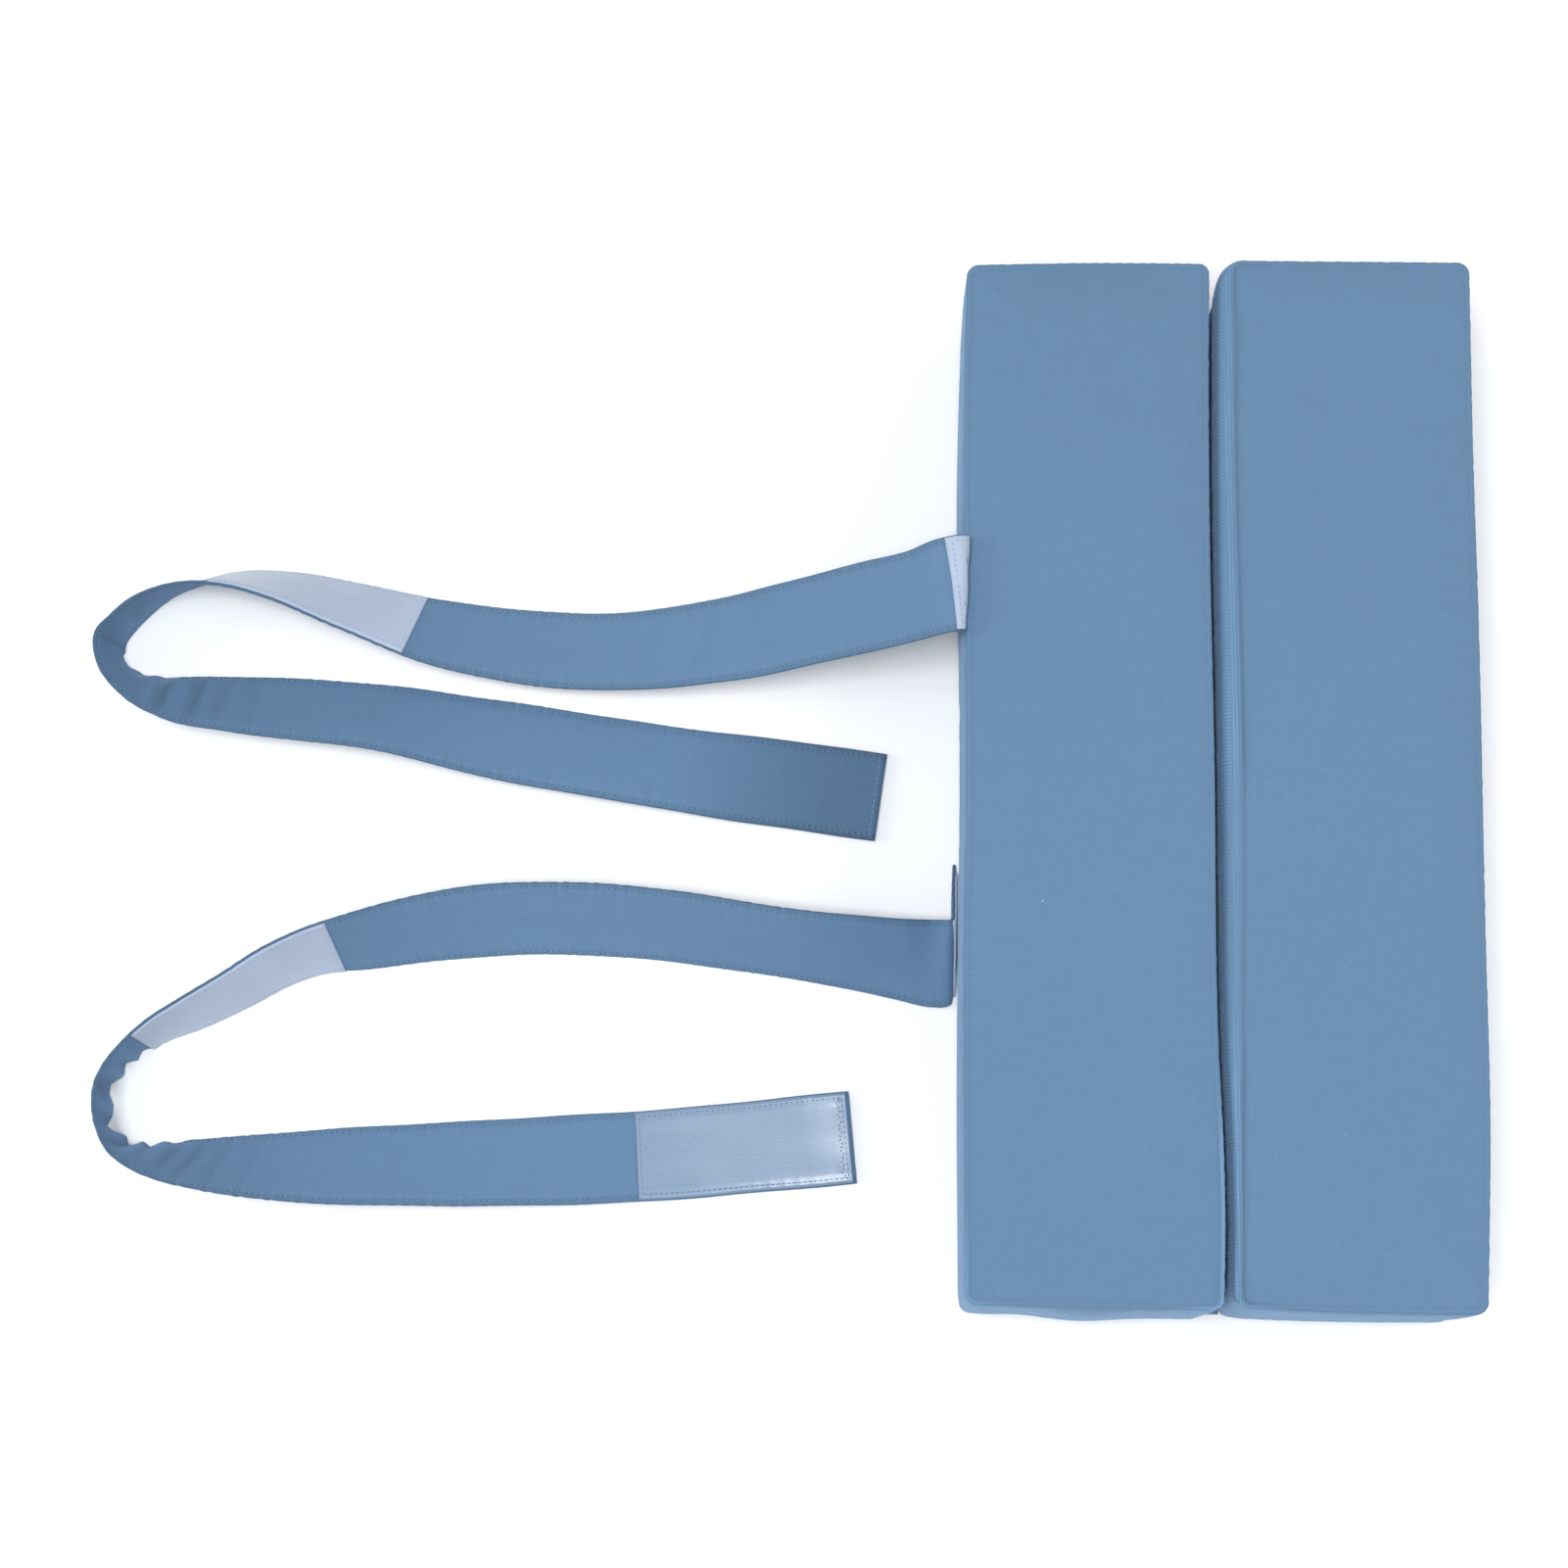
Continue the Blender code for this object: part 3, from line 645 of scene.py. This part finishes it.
def strap_shape(creases, gather_from, gather_to, gather_side, gather, curl_from, curl_rise, seed):
    """Low relief of a strap: puckers beside its stitching, creases across it, gathers in its bend.

    A gather is a sine wave along the strap that grows towards the gathered edge. A crease is a bell curve
    along the strap, slanted across it, strongest in the middle or at the inner edge. The free end curls up as
    a parabola. The shape gives the offset out of the strap, the slide across it and the shade of its folds.
    """
    rng = np.random.default_rng(seed)
    phase = rng.uniform(0, 2 * np.pi, 12)
    table = rows(creases)

    def shape(at, v):
        """Offset, slide and shade at a place along and across the strap."""
        beside = np.exp(-np.minimum(v, 1 - v) * STRAP_WIDTH / 5.0)
        patchy = 0.55 + 0.45 * np.sin(at / 37.0 + phase[0]) * np.sin(at / 23.0 + phase[1])
        pucker = beside * patchy * (np.sin(2 * np.pi * at / 7.3 + phase[2] + 2 * v)
                                    + 0.7 * np.sin(2 * np.pi * at / 4.9 + phase[3] - 3 * v))
        offset = 0.20 * pucker
        ripple = np.sin(2 * np.pi * v * 2.2 + 1.2 * np.sin(at / 31.0 + phase[4]) + phase[5])
        offset = offset + 0.14 * ripple * np.sin(at / 41.0 + phase[6])
        inner = v if gather_side > 0 else 1 - v
        shade = 0.3 * pucker
        for place, slant, width, depth, edge in table:
            strength = edge * (0.12 + 0.88 * inner ** 1.5) + (1 - edge) * 4 * v * (1 - v)
            off = (at - place - slant * (v - 0.5)) / width
            offset = offset - depth * strength * bell(off, 1.0)
            slope = 0.7 * off * bell(off, 1.0) - 0.45 * bell(1.6 * off, 1.0)
            shade = shade + strength * depth * slope
        middle, half = 0.5 * (gather_from + gather_to), 0.5 * (gather_to - gather_from)
        inside = np.clip(1 - np.abs(at - middle) / half, 0.0, 1.0) ** 0.6
        reach = inner ** 1.2
        turns = 2 * np.pi * at / GATHER_PITCH + 1.1 * np.sin(at / 17.0)
        swing = np.sin(turns + 1.2 * v * np.sin(at / 8.0))
        swing = swing + 0.10 * np.sin(2 * np.pi * at / 6.1 + phase[7] - 5.0 * v)
        offset = offset + gather * inside * reach * swing
        curl = np.clip((at - curl_from + 12.0 * (v - 0.5)) / CURL_LENGTH, 0.0, 2.0)
        offset = offset + curl_rise * curl ** 2
        slide = gather_side * 0.55 * gather * inside * reach * (1 + np.cos(turns + phase[8]))
        wander = np.sin(at / 13.0 + 3 * v + phase[9]) * np.sin(at / 31.0 + phase[10])
        slide = slide + 0.6 * np.abs(v - 0.5) * wander
        return offset, slide, shade + 0.4 * gather * inside * inner ** 0.6 * swing

    return shape


STRAP_SECTION = (
    ("share", "height"),
    (0, 0.30), (0.012, 0.74), (0.03, 0.94), (0.055, 0.50), (0.08, 0.90), (0.13, 0.94), (0.2, 0.88),
    (0.3, 0.84), (0.4, 0.84), (0.5, 0.84))
SHADED_END, SHADE_LENGTH = 108.0, 80.0


def mirrored(section):
    """Shares across a strap and the heights there: the table to the middle, then the same backwards."""
    share, height = rows(section).T
    return np.append(share, 1 - share[-2::-1]), np.append(height, height[-2::-1])


def ribbon(name, path, start, end, low, high, across, shape, dimple=None, slant=0.0, shade_from=1e6):
    """Closed ribbon over part of a strap, between two height profiles, with both ends closed by rungs.

    Its edges and the grooves of its stitching are painted darker as painted shade, in bell curves of the
    distance from the edge; the painted shade and light of the folds comes from the shape, and past shade_from
    the strap darkens towards its end.
    """
    at = path["at"]
    at = np.concatenate([[start], at[(at > start + 0.6) & (at < end - 0.6)], [end]])
    s, v = np.meshgrid(at, np.concatenate([across, across[::-1]]), indexing="ij")
    s = s + slant * v * (s - start) / (end - start)
    height = np.broadcast_to(np.concatenate([high, low[::-1]]), s.shape).copy()
    if dimple is not None:
        height = height + dimple(s, v) * (np.arange(s.shape[1]) < len(across))
    points, _ = on_strap(path, s, v, height, shape)
    points[..., 2] = np.maximum(points[..., 2], 0.05)
    points = (points - MIDDLE) * MM
    n, m = s.shape
    faces = strip_faces(n, m)
    width = np.concatenate([across, 2.0 - across[::-1], [2.0 + across[0]]]) * STRAP_WIDTH * MM
    i, j = np.meshgrid(np.arange(n - 1), np.arange(m), indexing="ij")
    corner = np.stack([np.stack([at[i + a] * MM, width[j + b]], axis=-1)
                       for a, b in ((0, 0), (0, 1), (1, 1), (1, 0))], axis=2).reshape(-1, 4, 2)[:, ::-1]
    per_point = np.stack([s * MM, v * STRAP_WIDTH * MM], axis=-1).reshape(-1, 2)
    corner = np.vstack([corner, per_point[faces[len(corner):]]])
    away = np.minimum(v, 1 - v) * STRAP_WIDTH
    # Painted shade along the edges and in the stitch grooves, plus the painted shade and light of folds from
    # the shape.
    edge = -1.3 * np.exp(-away / 0.8) - 0.7 * bell(away - 2.5, 0.6) + shape(s, v)[2]
    edge = edge - 0.8 * np.clip((s - shade_from) / SHADE_LENGTH, 0.0, 1.0)
    return quad_mesh(name, points.reshape(-1, 3), faces, corner, {"edge": edge})


upper_path = strap_path(UPPER_ROOT, UPPER_RUN, 2.4)
upper_length = float(upper_path["at"][-1])
upper_shape = strap_shape(UPPER_CREASES, 560, 612, gather_side=-1, gather=0.2,
                          curl_from=upper_length - CURL_LENGTH, curl_rise=-0.5, seed=5)
strap_weave = plain_weave("strap_weave", STRAP_BLUE, yarn=0.0011, bump=0.40, fleck=0.010)
strap_across, strap_top = mirrored(STRAP_SECTION)
upper_strap = ribbon("strap_upper_cloth", upper_path, 0.0, upper_length, -strap_top, strap_top, strap_across,
                     upper_shape, shade_from=upper_length - SHADED_END)
upper_strap.data.materials.append(strap_weave)
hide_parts("strap_upper")
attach(upper_strap, "root")


# Lower strap
# The same strap sewn lower on the wall. It turns out from the foot of the block, leans as it runs along
# the floor, stands on edge in its bend, where its inner edge is gathered, and lies flat to its end.
LOWER_ROOT = (
    ("north x", "y", "z", "south x", "y", "z"),
    (85, -42, 4.6, 84.7, -88, 1.6), (84.3, -57, 14, 83.7, -100, 2), (84.1, -69.4, 21.5, 83.2, -109.2, 2.4),
    (83.7, -72.9, 24.2, 82.4, -112.2, 2.6), (82.2, -73.5, 25.2, 80.2, -112.9, 2.4))
LOWER_RUN = (
    ("x", "y", "lift", "lean"),
    (76.5, -93, 1.4, -27), (58, -91.2, 0.5, -36), (39, -88.6, 0, -43), (20, -86.2, 0, -48),
    (-19, -80.6, 0, -50), (-57, -75, 0, -48), (-96, -71.8, 0, -46.5), (-135, -71.9, 0, -47),
    (-173, -76.2, 0, -52), (-211, -84, 0, -62), (-230, -88.2, 0, -69), (-249, -96.2, 0, -73),
    (-268, -107.6, 0, -76), (-290, -119.6, 0, -80), (-306, -127.8, 0, -86), (-318, -136.6, 0, -91),
    (-327, -147, 0, -93), (-331.4, -157.5, 0, -94), (-331.6, -168, 0, -94), (-327.4, -178.4, 0, -90),
    (-320, -185.4, 0, -80), (-310, -189.2, 0, -70), (-298, -191.2, 0, -61), (-283, -192.4, 0, -54),
    (-247, -193.4, 0, -40), (-209, -192.8, 0, -29), (-171, -191.8, 0, -22), (-133, -190.4, 0, -16),
    (-95, -188.6, 0, -10), (-57, -186.2, 0.1, -4), (-19, -182.6, 0.2, -1), (7, -180, 0.1, 0),
    (34.6, -177.4, 0.05, 0))
LOWER_CREASES = (
    ("at", "slant", "width", "depth", "edge"),
    (526, 8, 3.4, 0.8, 0), (538, 10, 3.4, 0.9, 0), (551, 8, 3.6, 0.6, 0), (566, 6, 4, 0.3, 0),
    (640, 20, 5, 0.15, 0), (448, 14, 3, 0.9, 0), (460, 10, 3, -0.9, 0), (474, 12, 3, 1, 0),
    (488, 8, 3, -0.9, 0), (502, 12, 3, 0.9, 0), (210, 18, 6, 0.2, 0))

lower_path = strap_path(LOWER_ROOT, LOWER_RUN, 2.4)
lower_length = float(lower_path["at"][-1])
lower_shape = strap_shape(LOWER_CREASES, 434, 534, gather_side=1, gather=2.5,
                          curl_from=lower_length - CURL_LENGTH, curl_rise=1.5, seed=9)
lower_strap = ribbon("strap_lower_cloth", lower_path, 0.0, lower_length, -strap_top, strap_top, strap_across,
                     lower_shape)
lower_strap.data.materials.append(strap_weave)
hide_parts("strap_lower")
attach(lower_strap, "root")


# Soft patches
# Brushed loop tape, pale blue grey, cut square and sewn on round its border: one at the root of each strap
# and one near its middle.
PATCH_MARGIN = 0.7
PATCH_SECTION = (
    ("share", "height"),
    (0, 1.15), (0.01, 1.72), (0.03, 1.90), (0.055, 1.80), (0.08, 1.92), (0.12, 1.95), (0.2, 1.95),
    (0.35, 1.95), (0.5, 1.95))
PATCH_LOW = 0.80
SOFT_PATCHES = (
    ("name", "strap", "start", "end", "slant"),
    ("root_patch_upper", "upper", 14, 116.3, -5), ("middle_patch_upper", "upper", 409, 513, 0),
    ("root_patch_lower", "lower", 4, 30.0, -5), ("middle_patch_lower", "lower", 336, 441, 0))


def two_tones(nodes, links, shader, share, colour, dark, light):
    """Base colour between a darker and a lighter tone of the colour, by the share."""
    mix = nodes.new("ShaderNodeMix")
    mix.data_type = "RGBA"
    links.new(share, mix.inputs[0])
    mix.inputs[6].default_value = (*(min(c * dark, 1.0) for c in colour), 1.0)
    mix.inputs[7].default_value = (*(min(c * light, 1.0) for c in colour), 1.0)
    links.new(mix.outputs[2], shader.inputs["Base Color"])


def tape(name, colour, roughness, sheen, coat, grain, strength):
    """Tape finish: fine pile or rows of hooks as small cells, and a slow drift of colour."""
    material, nodes, links, shader = new_finish(name)
    shader.inputs["Roughness"].default_value = roughness
    shader.inputs["Sheen Weight"].default_value = sheen
    shader.inputs["Coat Weight"].default_value = coat
    shader.inputs["Coat Roughness"].default_value = 0.16
    uv = nodes.new("ShaderNodeUVMap")
    uv.uv_map = "cloth"
    cells = nodes.new("ShaderNodeTexVoronoi")
    cells.inputs["Scale"].default_value = grain
    links.new(uv.outputs["UV"], cells.inputs["Vector"])
    fuzz = nodes.new("ShaderNodeTexNoise")
    fuzz.inputs["Scale"].default_value = 30.0
    fuzz.inputs["Detail"].default_value = 5.0
    links.new(uv.outputs["UV"], fuzz.inputs["Vector"])
    two_tones(nodes, links, shader, fuzz.outputs["Fac"], colour, 0.86, 1.12)
    relief = nodes.new("ShaderNodeBump")
    relief.inputs["Strength"].default_value = strength
    relief.inputs["Distance"].default_value = 0.0003
    links.new(cells.outputs["Distance"], relief.inputs["Height"])
    links.new(relief.outputs[0], shader.inputs["Normal"])
    return material


def patch(node, path, shape, start, end, slot, material, dimple=None, slant=0.0):
    """Patch on the inner face of a strap: the ribbon's form, a little narrower, with a rolled border."""
    margin = PATCH_MARGIN / STRAP_WIDTH
    share, top = mirrored(PATCH_SECTION)
    across = margin + (1 - 2 * margin) * share
    low = np.full(len(across), PATCH_LOW)
    piece = ribbon(node + "_tape", path, start, end, low, top, across, shape, dimple, slant)
    piece.data.materials.append(material)
    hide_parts(node)
    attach(piece, "root")
    return piece


loop_pile = tape("loop_pile", (0.392, 0.470, 0.605), roughness=0.92, sheen=0.30, coat=0.0, grain=1500.0,
                 strength=0.30)
straps = {"upper": (upper_path, upper_shape), "lower": (lower_path, lower_shape)}
sewn_on = {"upper": [], "lower": []}
for node, which, start, end, slant in SOFT_PATCHES[1:]:
    sewn_on[which].append(patch(node, *straps[which], start, end, "loop_tape", loop_pile, None, slant))


# Hook patches
# Moulded hook tape at the free end of each strap, smooth and slightly glassy, sewn on with a zigzag row
# that pulls small dimples into its border.
HOOK_LENGTHS = (("strap", "length"), ("upper", 101.0), ("lower", 106.0))
HOOK_END = 1.4
hook_plastic = tape("hook_plastic", (0.184, 0.276, 0.410), roughness=0.42, sheen=0.0, coat=0.30, grain=900.0,
                    strength=0.16)


def end_dimples(length):
    """Small dents along the last stitch row of a patch, a cosine across the strap."""
    def dimple(at, v):
        """Height of the dents at a place along and across the strap."""
        row = bell(at - length + 5.5, 1.4)
        return -0.35 * row * (0.5 + 0.5 * np.cos(2 * np.pi * v * STRAP_WIDTH / 3.0))
    return dimple


for which, reach in HOOK_LENGTHS[1:]:
    length = straps[which][0]["at"][-1]
    sewn_on[which].append(patch("end_patch_" + which, *straps[which], length - reach, length - HOOK_END,
                                "hook_tape", hook_plastic, end_dimples(length)))


# Cloth hinge
# A strip of the cover cloth sewn to the base seams of both blocks. It lies flat on the floor of the gap.
HINGE_END_GAP, HINGE_UNDER = 2.0, 0.7
HINGE_LOW, HINGE_RIPPLE = 0.15, 0.12
HINGE_SECTION = (("share", "height"), (0, 1.6), (0.12, 1.9), (0.3, 1.5), (0.5, 1.3))


def hinge_strip():
    """Flat strip between the feet of both blocks, on a grid of places along and corners round it."""
    y = np.linspace(SOUTH_Y + HINGE_END_GAP, NORTH_Y - HINGE_END_GAP, 160)
    west = side(LEFT_EAST_X, y) - HINGE_UNDER
    east = side(RIGHT_WEST_X, y) + HINGE_UNDER
    share, top = mirrored(HINGE_SECTION)
    x = west[:, None] + (east - west)[:, None] * np.append(share, share[::-1])
    ripple = HINGE_RIPPLE * np.sin(y / 5.1)[:, None] * np.append(np.ones(len(top)), np.zeros(len(top)))
    z = np.append(top, np.full(len(top), HINGE_LOW)) + ripple
    return np.stack([x, np.broadcast_to(y[:, None], x.shape), z], axis=-1)


hinge_grid = hinge_strip()
hinge_faces = strip_faces(*hinge_grid.shape[:2])[:, ::-1]
hinge_points = ((hinge_grid - MIDDLE) * MM).reshape(-1, 3)
hinge = quad_mesh("hinge_strip", hinge_points, hinge_faces, hinge_points[:, :2][hinge_faces],
                  {"edge": np.zeros(len(hinge_points))})
hinge.data.materials.append(cover_weave)
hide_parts("hinge_cloth")
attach(hinge, "root")


# Topstitching
# Blue thread in short even stitches, half sunk in the cloth: beside the seams of both covers, along both
# edges and across the ends of the straps, and round the patches.
THREAD_COVER = (0.100, 0.187, 0.305)
THREAD_STRAP = (0.165, 0.270, 0.410)
THREAD_PATCH = (0.300, 0.370, 0.490)
THREAD_HOOK = (0.120, 0.180, 0.280)
TOPSTITCH_SHARE = 0.055
PATCH_THREAD_HEIGHT = 1.82
COVER_STITCH, STRAP_STITCH = (0.0030, 0.0021, 0.00026), (0.0029, 0.0020, 0.00024)
PATCH_STITCH, HOOK_STITCH = (0.0027, 0.0019, 0.00022), (0.0026, 0.0018, 0.00023)


def thread(name, colour):
    """Twisted thread: a fine twill of two tones along each stitch, softly shining."""
    material, nodes, links, shader = new_finish(name)
    shader.inputs["Roughness"].default_value = 0.6
    shader.inputs["Sheen Weight"].default_value = 0.2
    place = nodes.new("ShaderNodeTexCoord")
    noise = nodes.new("ShaderNodeTexNoise")
    noise.inputs["Scale"].default_value = 700.0
    links.new(place.outputs["Object"], noise.inputs["Vector"])
    two_tones(nodes, links, shader, noise.outputs["Fac"], colour, 0.75, 1.25)
    return material


def on_line(values, chord, at):
    """Values of a line read at places along it, in straight runs between its points."""
    return np.stack([np.interp(at, chord, column) for column in values.T], axis=-1)


def stitches(name, lines, gauge, material):
    """Stitches along lines: a six-sided spindle at each even step, its ends dipping into the cloth.

    Each line is an array of points in metres and one of the directions out of the cloth; the gauge is the
    pitch, length and radius of a stitch.
    """
    pitch, length, radius = gauge
    centres, alongs, outs = [], [], []
    for points, out in lines:
        chord = run_length(points)
        at = np.arange(pitch * 0.5, chord[-1], pitch)
        ahead = on_line(points, chord, at + 0.3 * pitch) - on_line(points, chord, at - 0.3 * pitch)
        centres.append(on_line(points, chord, at))
        alongs.append(ahead / np.maximum(np.linalg.norm(ahead, axis=1), 1e-9)[:, None])
        normal = on_line(out, chord, at)
        outs.append(normal / np.linalg.norm(normal, axis=1)[:, None])
    centre, along, out = np.vstack(centres), np.vstack(alongs), np.vstack(outs)
    beside = np.cross(out, along)
    share = np.array([-0.5, -0.28, 0.0, 0.28, 0.5]) * length
    reach = radius * np.array([0.25, 0.9, 1.0, 0.9, 0.25])[:, None]
    rise = np.array([-0.9, 0.1, 0.35, 0.1, -0.9]) * radius
    angle = np.arange(6) * np.pi / 3
    ring = (centre[:, None, None] + along[:, None, None] * share[None, :, None, None]
            + out[:, None, None] * (rise[:, None] + reach * np.sin(angle))[None, :, :, None]
            + beside[:, None, None] * (reach * np.cos(angle))[None, :, :, None])
    ring[..., 2] = np.maximum(ring[..., 2], 0.0)
    number = len(centre)
    tube_faces = ring_faces(5, 6)
    caps = np.array([[0, 5, 4, 3], [0, 3, 2, 1], [24, 25, 26, 27], [24, 27, 28, 29]])
    one = np.vstack([tube_faces, caps])
    faces = (np.arange(number)[:, None, None] * 30 + one[None]).reshape(-1, 4)
    piece = quad_mesh(name, ring.reshape(-1, 3), faces)
    piece.data.materials.append(material)
    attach(piece, "root")
    return piece


def strap_line(path, shape, at, v, height):
    """Line of points on a strap and the directions out of it, on the side that the height points to."""
    at, v = np.broadcast_arrays(np.asarray(at, dtype=float), np.asarray(v, dtype=float))
    points, out = on_strap(path, at, v, np.full(at.shape, float(height)), shape)
    return (points - MIDDLE) * MM, out * np.sign(height)


def border(path, shape, start, end, v0, v1, height, slant):
    """Closed line round a patch, in four straight runs."""
    w = np.linspace(v0, v1, 40)
    return [strap_line(path, shape, np.linspace(start, end + slant * v0, 80), v0, height),
            strap_line(path, shape, end + slant * w, w, height),
            strap_line(path, shape, np.linspace(end + slant * v1, start, 80), v1, height),
            strap_line(path, shape, start, w[::-1], height)]


def strap_lines(path, shape, patches):
    """Both edges on both faces, the row across the free end, and the patch borders seen on the outer face."""
    length = path["at"][-1]
    s = np.linspace(2.0, length - 2.0, 900)
    edges = (TOPSTITCH_SHARE, 1 - TOPSTITCH_SHARE)
    lines = [strap_line(path, shape, s, v, h) for v in edges for h in (0.66, -0.66)]
    lines += [strap_line(path, shape, length - 3.2, np.linspace(0.06, 0.94, 40), h) for h in (0.82, -0.82)]
    for start, end in patches:
        row = np.linspace(0.07, 0.93, 40)
        lines += [strap_line(path, shape, at, row, -0.84) for at in (start + 3, end - 3)]
    return lines


cover_thread = thread("cover_thread", THREAD_COVER)
strap_thread = thread("strap_thread", THREAD_STRAP)
patch_thread = thread("patch_thread", THREAD_PATCH)
hook_thread = thread("hook_thread", THREAD_HOOK)
for name, line, normal in (("stitches_left", left_line, left_normal),
                           ("stitches_right", right_line, right_normal)):
    closed_line = (np.vstack([line, line[:1]]), np.vstack([normal, normal[:1]]))
    stitches(name, [closed_line], COVER_STITCH, cover_thread)
patch_ends = {node: (start, end) for node, _, start, end, _ in SOFT_PATCHES[1:]}
for which, reach in HOOK_LENGTHS[1:]:
    length = straps[which][0]["at"][-1]
    seen = (patch_ends["middle_patch_" + which], (length - reach, length))
    sewn_on[which].append(stitches("stitches_" + which, strap_lines(*straps[which], seen), STRAP_STITCH,
                                   strap_thread))
v0 = PATCH_MARGIN / STRAP_WIDTH + TOPSTITCH_SHARE * (1 - 2 * PATCH_MARGIN / STRAP_WIDTH)
for which, reach in HOOK_LENGTHS[1:]:
    path, shape = straps[which]
    length = path["at"][-1]
    around = []
    for _, strap, start, end, slant in SOFT_PATCHES[1:]:
        if strap == which:
            around += border(path, shape, start + 2.0, end - 2.4, v0, 1 - v0, PATCH_THREAD_HEIGHT, slant)
    rim = border(path, shape, length - reach + 2.0, length - 3.6, v0, 1 - v0, PATCH_THREAD_HEIGHT, 0)
    turn_back = length - 6.4 + 1.4 * (np.arange(31) % 2)
    rim.append(strap_line(path, shape, turn_back, np.linspace(v0, 1 - v0, 31), 1.95))
    sewn_on[which].append(stitches("stitches_" + which + "_patches", around, PATCH_STITCH, patch_thread))
    sewn_on[which].append(stitches("stitches_" + which + "_hook", rim, HOOK_STITCH, hook_thread))
